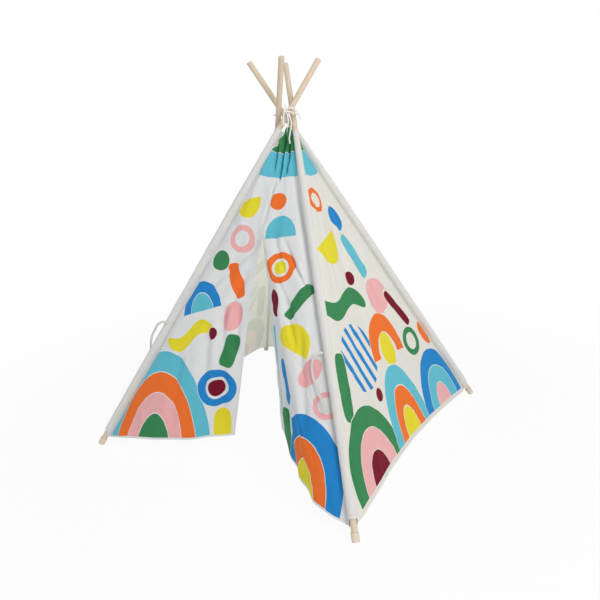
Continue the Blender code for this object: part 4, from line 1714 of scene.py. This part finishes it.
def through(points: list[Vector], step: float) -> list[Vector]:
    """Points about step apart on a smooth curve through the given ones.

    Args:
        points: The points.
        step: The distance between those that are made.

    Returns:
        The curve's points, with both ends.
    """
    out: list[Vector] = []
    last = len(points) - 1
    for i in range(last):
        p0 = points[max(i - 1, 0)]
        p1 = points[i]
        p2 = points[i + 1]
        p3 = points[min(i + 2, last)]
        count = max(1, round((p2 - p1).length / step))
        for k in range(count):
            t = k / count
            a = p1 * 2
            b = (p2 - p0) * t
            c = (p0 * 2 - p1 * 5 + p2 * 4 - p3) * t**2
            d = (p1 * 3 - p0 - p2 * 3 + p3) * t**3
            out.append((a + b + c + d) * 0.5)
    out.append(points[last])
    return out


@dataclass
class Knot:
    """The cord through the poles and the bow that it ends in."""

    stance: Stance
    canvas: Canvas
    diameter: float = 0.0055
    self_gap: float = 0.0008
    wrap_turns: float = 1.75
    pole_radius: float = 0.011
    over_cloth: float = 0.0017
    step: float = 0.0022
    sides: int = 16

    def __post_init__(self) -> None:
        """Works out the crossing from the front pivots."""
        left = self.stance.legs["fl"].pivot
        self.centre = Vector((0, 0, left.z))
        self.front = Vector((left.x, left.y, 0)).normalized()
        self.right = UP.cross(self.front)
        self.offset = Vector((left.x, left.y, 0)).length
        self.exit = self.offset + self.pole_radius
        self.pitch = self.diameter + self.self_gap
        self.core_front = self.exit + 2 * self.diameter + 0.0010
        self.core_right = -0.0095
        self.wrap_low = 2 * self.diameter

    def place(self, n: float, h: float, z: float) -> Vector:
        """A point n to the front, h to the right and z above the crossing."""
        return self.centre + self.front * n + self.right * h + UP * z

    def polar(self, r: float, degrees: float, z: float) -> Vector:
        """A point r from the crossing's middle, turned to the right from the front."""
        a = math.radians(degrees)
        return self.place(r * math.cos(a), r * math.sin(a), z)

    def wrap(self) -> list[Vector]:
        """The turns of the knot, upwards.

        Returns:
            The points of its centreline.
        """
        count = round(self.wrap_turns * 28)
        out = []
        for k in range(count + 1):
            turn = -2 * math.pi * self.wrap_turns * k / count
            z = self.wrap_low + self.pitch * self.wrap_turns * k / count
            n = self.core_front + self.pitch * math.cos(turn)
            out.append(self.place(n, self.core_right + self.pitch * math.sin(turn), z))
        return out

    def run(self) -> list[Vector]:
        """The stretch through the poles, with the turns of the knot.

        Returns:
            The points of its centreline.
        """
        out = self.exit
        wrap = self.wrap()
        round_right = [wrap[0], self.polar(self.core_front + 0.0050, 9, self.wrap_low - 0.0015)]
        bows = ((0.0100, 24, 0.0040), (0.0050, 45, 0.0010), (0.0070, 64, 0), (0.0078, 75, 0))
        bows += ((0.0050, 85, 0), (0.0012, 90, 0))
        round_right += [self.polar(out + r, a, z) for r, a, z in bows]
        back = ((0.0012, 270), (0.0050, 265), (0.0078, 255), (0.0070, 243), (0.0046, 225))
        back += ((0.0070, 207), (0.0078, 195), (0.0050, 185), (0.0012, 180))
        round_back = [self.polar(out + r, a, 0) for r, a in back]
        reach = self.offset * 0.45
        first_run = []
        second_run = []
        for k in range(25):
            r = out * (1 - k / 12)
            rise = self.pitch / 2 * math.exp(-((r / reach) ** 2))
            first_run.append(self.place(0, r, -rise))
            second_run.append(self.place(-r, 0, rise))
        top = self.wrap_low + self.pitch * self.wrap_turns + self.diameter
        rise_up = [
            self.place(out + 0.0012, 0, 0),
            self.place(out + 0.0052, self.core_right / 2, 0.0008),
            self.place(self.core_front - 0.0012, self.core_right + 0.0010, 0.0045),
            self.place(self.core_front, self.core_right, 0.0100),
            self.place(self.core_front, self.core_right, self.wrap_low + self.pitch),
            self.place(self.core_front, self.core_right, top),
        ]
        points = wrap[::-1] + through(round_right, self.step)[1:]
        points += first_run[1:-1] + through(round_back, self.step)
        return points + second_run[1:-1] + through(rise_up, self.step)

    def loop(self) -> list[Vector]:
        """The bow's loop, from the top of the knot and back to its underside.

        Returns:
            The points of its centreline.
        """
        top = self.wrap_low + self.pitch * self.wrap_turns + self.diameter - 0.0005
        over = self.core_front + self.pitch + self.diameter / 2 + self.self_gap
        cf = self.core_front
        cr = self.core_right
        under = self.wrap_low - self.diameter - self.self_gap - 0.0015
        marks = [(cf, cr, top), (cf, cr, top + 0.0030), (cf + 0.0050, cr - 0.0020, top + 0.0074)]
        marks += [(over - 0.0005, cr - 0.0045, top + 0.0030)]
        marks += [(over + 0.0015, cr - 0.0085, self.wrap_low)]
        marks += [(over - 0.0010, cr - 0.0125, -0.0120), (over - 0.0045, cr - 0.0138, -0.0260)]
        marks += [(over - 0.0060, cr - 0.0090, -0.0385), (over - 0.0060, cr - 0.0015, -0.0432)]
        marks += [(over - 0.0060, cr + 0.0052, -0.0385), (over - 0.0060, cr + 0.0070, -0.0260)]
        marks += [(cf + 0.0025, cr + 0.0062, -0.0120), (cf + 0.0015, cr + 0.0058, under)]
        return through([self.place(*m) for m in marks], self.step)

    def short_end(self) -> list[Vector]:
        """The end that hangs over to the right.

        Returns:
            The points of its centreline.
        """
        wrap = self.wrap()
        ahead = (wrap[-1] - wrap[-2]).normalized()
        z = self.wrap_low + self.pitch * self.wrap_turns
        cf = self.core_front
        marks = [(cf + 0.0080, 0.0070, z + 0.0030), (cf + 0.0060, 0.0165, z + 0.0020)]
        marks += [(cf + 0.0030, 0.0270, z - 0.0050), (cf + 0.0010, 0.0370, z - 0.0170)]
        marks += [(cf, 0.0440, z - 0.0300), (cf, 0.0485, z - 0.0450)]
        start = [wrap[-1] - ahead * 0.0005, wrap[-1] + ahead * self.diameter]
        return through(start + [self.place(*m) for m in marks], self.step)

    def long_end(self) -> list[Vector]:
        """The end that hangs down and lies on the front wall.

        Returns:
            The points of its centreline.
        """
        cf = self.core_front
        cr = self.core_right
        marks = [(cf + 0.0028, cr + 0.0112, 0.0036), (cf + 0.0040, cr + 0.0141, -0.0090)]
        marks += [(cf + 0.0048, cr + 0.0168, -0.0240), (cf + 0.0052, cr + 0.0188, -0.0400)]
        free = [self.place(*m) for m in marks]
        first, last = self.stance.legs["fl"], self.stance.legs["fr"]
        top = first.reach - self.canvas.top_below_pivot
        lift = self.canvas.thick / 2 + self.diameter / 2 + self.over_cloth
        outward = -self.canvas.inward(first, last) * lift
        rest = ((0.83, 0.032), (0.845, 0.046), (0.85, 0.060))
        lying = [self.canvas.flat(first, last, w, top - drop) + outward for w, drop in rest]
        return through(free + lying, self.step)

    def tube(self, name: str, points: list[Vector], finish: bpy.types.Material) -> bpy.types.Object:
        """A cord of the knot's diameter along the points.

        Args:
            name: The piece's name.
            points: Its centreline.
            finish: Its material.

        Returns:
            The tube, closed at both ends.
        """
        frames = []
        side = (points[1] - points[0]).orthogonal().normalized()
        for i in range(len(points)):
            ahead = (points[min(i + 1, len(points) - 1)] - points[max(i - 1, 0)]).normalized()
            side = (side - ahead * side.dot(ahead)).normalized()
            frames.append((side.copy(), ahead.cross(side)))
        run = [0.0]
        for a, b in zip(points, points[1:]):
            run.append(run[-1] + (b - a).length)
        last = len(points) - 1

        def point(u: float, v: float) -> Vector:
            """The grid point's place on the finished piece.

            Args:
                u: How far across the grid, from 0 to 1.
                v: How far up it.

            Returns:
                The place.
            """
            i = min(last, round(v * last))
            turn = 2 * math.pi * u
            near_end = min(run[i], run[-1] - run[i])
            r = self.diameter / 2 * (0.72 + 0.28 * eased(near_end / (self.diameter / 3)))
            return points[i] + (frames[i][0] * math.cos(turn) + frames[i][1] * math.sin(turn)) * r

        def cut(u: float, v: float) -> tuple[float, float]:
            """The grid point's place on the cut cloth, in metres."""
            return run[min(last, round(v * last))], u

        piece = lay_sheet(name, (self.sides, last), point, cut, lambda u, v: (NO_EDGE, NO_EDGE))
        weld(capped=True)
        bpy.ops.object.shade_smooth_by_angle(angle=math.radians(60))
        piece.data.materials.append(finish)
        return piece

    def build(self) -> None:
        finish = BraidFinish().material()
        stretches = {
            "cord_run": ("cord_through_poles", self.run(), None),
            "bow_loop": ("cord_bow_loop", self.loop(), "object"),
            "short_end": ("cord_end_short", self.short_end(), "bare"),
            "long_end": ("cord_end_long", self.long_end(), "bare"),
        }
        for name, (node, points, far_end) in stretches.items():
            piece = self.tube(name, points, finish)
            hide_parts(node)
            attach(piece, "crossing")
            length = sum((b - a).length for a, b in zip(points, points[1:]))
            if far_end:
                tuple(points[0])
                [tuple(p) for p in points]
            LOG.info("%s, %.3f m of cord", name, length)


@dataclass
class Ribbons:
    """The tie on each front sleeve."""

    canvas: Canvas
    start: float = 0.605
    width: float = 0.010
    thick: float = 0.0010
    clear: float = 0.0008
    over_folds: float = 0.0042
    step: float = 0.003
    cells_across: int = 8

    def build(self, finish: bpy.types.Material) -> None:
        """Makes both ties.

        Args:
            finish: Their material.
        """
        self.left(finish)
        self.right(finish)

    def left(self, finish: bpy.types.Material) -> None:
        """The tie that goes round the left sleeve and hangs beside it.

        Args:
            finish: Its material.
        """
        seat = self.thick / 2 + self.clear
        leg = self.canvas.stance.legs["fl"]
        route = (
            (20, 0.0, 0.0015, 20),
            (48, 0.002, 0.007, 60),
            (70, 0.010, 0.015, 75),
            (86, 0.030, 0.021, 40),
            (96, 0.056, 0.020, 5),
            (108, 0.084, 0.019, -15),
            (122, 0.112, 0.013, 20),
            (142, 0.140, 0.006, 70),
            (160, 0.175, 0.002, 140),
            (172, 0.205, 0.002, 172),
        )
        points = []
        faces = []
        for degrees, drop, off, twist in route:
            a = math.radians(degrees)
            p = (self.canvas.sleeve_half + seat + off) * math.cos(a)
            q = (self.canvas.sleeve_out + seat + off) * math.sin(a)
            points.append(leg.at(self.start - drop, p, q))
            t = math.radians(twist)
            faces.append(leg.across * math.cos(t) - leg.inward * math.sin(t))
        self.ribbon("left_tie", points, faces, finish, "tie_left", leg)

    def right(self, finish: bpy.types.Material) -> None:
        """The tie that hangs over the front wall beside the right sleeve.

        Args:
            finish: Its material.
        """
        canvas = self.canvas
        legs = canvas.stance.legs
        leg = legs["fr"]
        normal = canvas.inward(legs["fl"], leg)
        base = canvas.seam(leg, -1, self.start)
        level = (canvas.seam(legs["fl"], 1, self.start) - base).normalized()
        stand = canvas.thick / 2 + self.over_folds + self.thick / 2 + self.clear
        route = (
            (-0.0020, -0.001, -0.0040),
            (0.010, 0.0, -0.0015),
            (0.028, 0.013, 0.004),
            (0.041, 0.036, 0.005),
            (0.050, 0.066, 0.002),
            (0.048, 0.100, 0.002),
            (0.038, 0.135, 0.002),
            (0.026, 0.170, 0.002),
            (0.014, 0.205, 0.004),
        )
        points = [base + level * a - leg.along * b - normal * (stand + c) for a, b, c in route]
        self.ribbon("right_tie", points, [-normal] * len(points), finish, "tie_right", leg)

    def ribbon(
        self,
        name: str,
        marks: list,
        faces: list,
        finish: bpy.types.Material,
        node: str,
        leg: Leg,
    ) -> None:
        """One ribbon along the marks.

        Args:
            name: The piece's name.
            marks: Points that it runs through.
            faces: The way that its flat side looks at each mark.
            finish: Its material.
            node: The CAD node that it stands for.
            leg: The pole that carries it.
        """
        fine = through(marks, self.step)
        counts = [max(1, round((b - a).length / self.step)) for a, b in zip(marks, marks[1:])]
        looks = []
        for i, count in enumerate(counts):
            looks += [mixed(faces[i], faces[i + 1], k / count).normalized() for k in range(count)]
        looks.append(faces[-1].normalized())
        last = len(fine) - 1

        def point(u: float, v: float) -> Vector:
            """The grid point's place on the finished piece.

            Args:
                u: How far across the grid, from 0 to 1.
                v: How far up it.

            Returns:
                The place.
            """
            i = min(last, round(v * last))
            ahead = fine[min(i + 1, last)] - fine[max(i - 1, 0)]
            side = ahead.cross(looks[i]).normalized()
            curl = looks[i] * 0.0006 * (2 * u - 1) ** 2 * math.sin(i * 0.13)
            return fine[i] + side * (u - 0.5) * self.width + curl

        def cut(u: float, v: float) -> tuple[float, float]:
            """The grid point's place on the cut cloth, in metres."""
            return u * self.width, v * last * self.step

        def edge(u: float, v: float) -> tuple[float, float]:
            """The grid point's distance to the seam and to the hem."""
            return 0.0035 + min(u, 1 - u) * 0.002, NO_EDGE

        piece = lay_sheet(name, (self.cells_across, last), point, cut, edge)
        face_out(piece, sum(looks, Vector()))
        piece.data.materials.append(finish)
        thicken(piece, self.thick)
        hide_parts(node)
        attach(piece, leg.body)
        length = sum((b - a).length for a, b in zip(fine, fine[1:]))
        LOG.info("%s, %.3f m of ribbon", name, length)


@dataclass
class Studio:
    """Floor, light and the camera at the photograph's angle."""

    azimuth: float = 33.56
    elevation: float = 13.49
    roll: float = -2.21
    distance: float = 2.484
    target_height: float = 0.700
    focal_pixels: float = 589.8
    middle_pixels: tuple[float, float] = (-8.46, -34.41)
    frame_pixels: int = 600
    sensor: float = 36.0
    white_near: float = 0.92
    fade_from: float = 0.9
    fade_to: float = 2.6
    bounce_watts: float = 1.35
    bounce_at: tuple[float, float, float] = (0.0, 0.05, 0.42)
    bounce_size: float = 0.22
    world_strength: float = 0.50
    softboxes: tuple = (
        ("key", (3.3, -1.7, 3.1), 1.8, 92.0, (1.0, 0.965, 0.915)),
        ("fill", (-2.8, -2.6, 2.0), 2.6, 16.0, (0.94, 0.97, 1.0)),
    )

    def build(self) -> None:
        """Sets up the whole studio."""
        self.floor()
        self.world()
        for name, at, size, watts, colour in self.softboxes:
            self.lamp(name, Vector(at), size, watts, colour)
        self.bounce()
        self.camera()
        bpy.context.scene.view_settings.view_transform = "Standard"

    def floor(self) -> None:
        """A pale floor that keeps the tent's shadow."""
        bpy.ops.object.select_all(action="DESELECT")
        bpy.ops.mesh.primitive_plane_add(size=60.0, location=(0, 0, -0.0005))
        floor = bpy.context.object
        floor.name = "studio_floor"
        graph = Graph("floor_paint")
        graph.fix({"Base Color": (0.9, 0.9, 0.9, 1), "Roughness": 0.9})
        light = graph.node("ShaderNodeEmission", {}, {"Color": (1, 1, 1, 1), "Strength": 1.0})
        rays = graph.node("ShaderNodeLightPath", {}, {})
        seen = Level(graph, rays.outputs["Is Camera Ray"])
        away = Motif.radius(graph, graph.place())
        span = {"Value": away, "From Min": self.fade_from, "From Max": self.fade_to}
        span |= {"To Min": self.white_near, "To Max": 1.0}
        fade = graph.node("ShaderNodeMapRange", {"interpolation_type": "SMOOTHSTEP"}, span)
        share = seen * Level(graph, fade.outputs["Result"])
        mixture = {0: share, 1: graph.shader.outputs[0], 2: light.outputs[0]}
        blend = graph.node("ShaderNodeMixShader", {}, mixture)
        output = graph.tree.nodes["Material Output"]
        graph.feed(output.inputs["Surface"], blend.outputs[0])
        floor.data.materials.append(graph.material)

    def world(self) -> None:
        """Soft light from all sides before a white background."""
        world = bpy.data.worlds.new("studio_world")
        bpy.context.scene.world = world
        world.use_nodes = True
        tree = world.node_tree
        soft = tree.nodes["Background"]
        soft.inputs["Color"].default_value = (0.96, 0.98, 1.0, 1)
        soft.inputs["Strength"].default_value = self.world_strength
        white = tree.nodes.new("ShaderNodeBackground")
        white.inputs["Color"].default_value = (1, 1, 1, 1)
        rays = tree.nodes.new("ShaderNodeLightPath")
        blend = tree.nodes.new("ShaderNodeMixShader")
        tree.links.new(rays.outputs["Is Camera Ray"], blend.inputs[0])
        tree.links.new(soft.outputs[0], blend.inputs[1])
        tree.links.new(white.outputs[0], blend.inputs[2])
        tree.links.new(blend.outputs[0], tree.nodes["World Output"].inputs["Surface"])

    def lamp(self, name: str, at: Vector, size: float, watts: float, colour: tuple) -> None:
        """A square softbox that looks at the tent.

        Args:
            name: The lamp's name.
            at: Its place.
            size: Its side in metres.
            watts: Its power.
            colour: Its colour.
        """
        bpy.ops.object.light_add(type="AREA", location=at)
        lamp = bpy.context.object
        lamp.name = name
        lamp.data.size = size
        lamp.data.energy = watts
        lamp.data.color = colour
        lamp.rotation_euler = (at - UP * self.target_height).to_track_quat("Z", "Y").to_euler()

    def bounce(self) -> None:
        """The daylight that thin cloth lets into the tent, as a weak large lamp."""
        bpy.ops.object.light_add(type="POINT", location=self.bounce_at)
        lamp = bpy.context.object
        lamp.name = "bounce"
        lamp.data.shadow_soft_size = self.bounce_size
        lamp.data.energy = self.bounce_watts

    def camera(self) -> None:
        """The camera, as fitted to the photograph."""
        az = math.radians(self.azimuth)
        el = math.radians(self.elevation)
        back = Vector((math.sin(az) * math.cos(el), -math.cos(az) * math.cos(el), math.sin(el)))
        right = UP.cross(back).normalized()
        up = back.cross(right)
        roll = math.radians(self.roll)
        turned_right = right * math.cos(roll) + up * math.sin(roll)
        turned_up = up * math.cos(roll) - right * math.sin(roll)
        data = bpy.data.cameras.new("camera")
        data.sensor_width = self.sensor
        data.lens = self.focal_pixels * self.sensor / self.frame_pixels
        data.shift_x = -self.middle_pixels[0] / self.frame_pixels
        data.shift_y = self.middle_pixels[1] / self.frame_pixels
        camera = bpy.data.objects.new("camera", data)
        bpy.context.scene.collection.objects.link(camera)
        axes = Matrix((turned_right, turned_up, back)).transposed().to_4x4()
        place = UP * self.target_height + back * self.distance
        camera.matrix_world = Matrix.Translation(place) @ axes
        bpy.context.scene.camera = camera


def main() -> None:
    """Builds the tent's looks, piece by piece."""
    logging.basicConfig(level=logging.INFO, format="%(name)s: %(message)s")
    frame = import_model()
    stance = Stance()
    stance.read(frame["joints"])
    canvas = Canvas(stance)
    prints = {}
    # Each wall's cloth colour is painted light: cooler on the front, warmer on the closed walls.
    for wall, motifs, lit_tone, margin in (
        ("right", SIDE_PRINT, WARM_LIT_CLOTH, SIDE_HEM),
        ("back", BACK_PRINT, WARM_LIT_CLOTH, SIDE_HEM),
        ("left", SIDE_PRINT, WARM_LIT_CLOTH, SIDE_HEM),
        ("front", FRONT_PRINT, COOL_LIT_CLOTH, FRONT_HEM),
    ):
        outer = CanvasFinish(f"{wall}_canvas", tuple(motifs), lit_tone, hem_margin=margin)
        # The inside has a painted glow in its own colours, in place of daylight through the cloth.
        inner = CanvasFinish(
            f"{wall}_canvas_inside",
            tuple(motifs),
            INSIDE,
            print_share=0.16,
            hem_margin=margin,
            painted_glow=0.22,
        )
        prints[wall] = (outer.material(), inner.material())
    plain = CanvasFinish("plain_canvas", cloth=PLAIN, glow=0.2).material()
    Studio().build()
    Knot(stance, canvas).build()
    Woodwork(stance, frame["nodes"]).build()
    SideWalls(canvas).build(prints)
    Front(canvas).build(prints["front"])
    Sleeves(canvas).build(plain)
    Ribbons(canvas).build(plain)


if __name__ == "__main__":
    main()
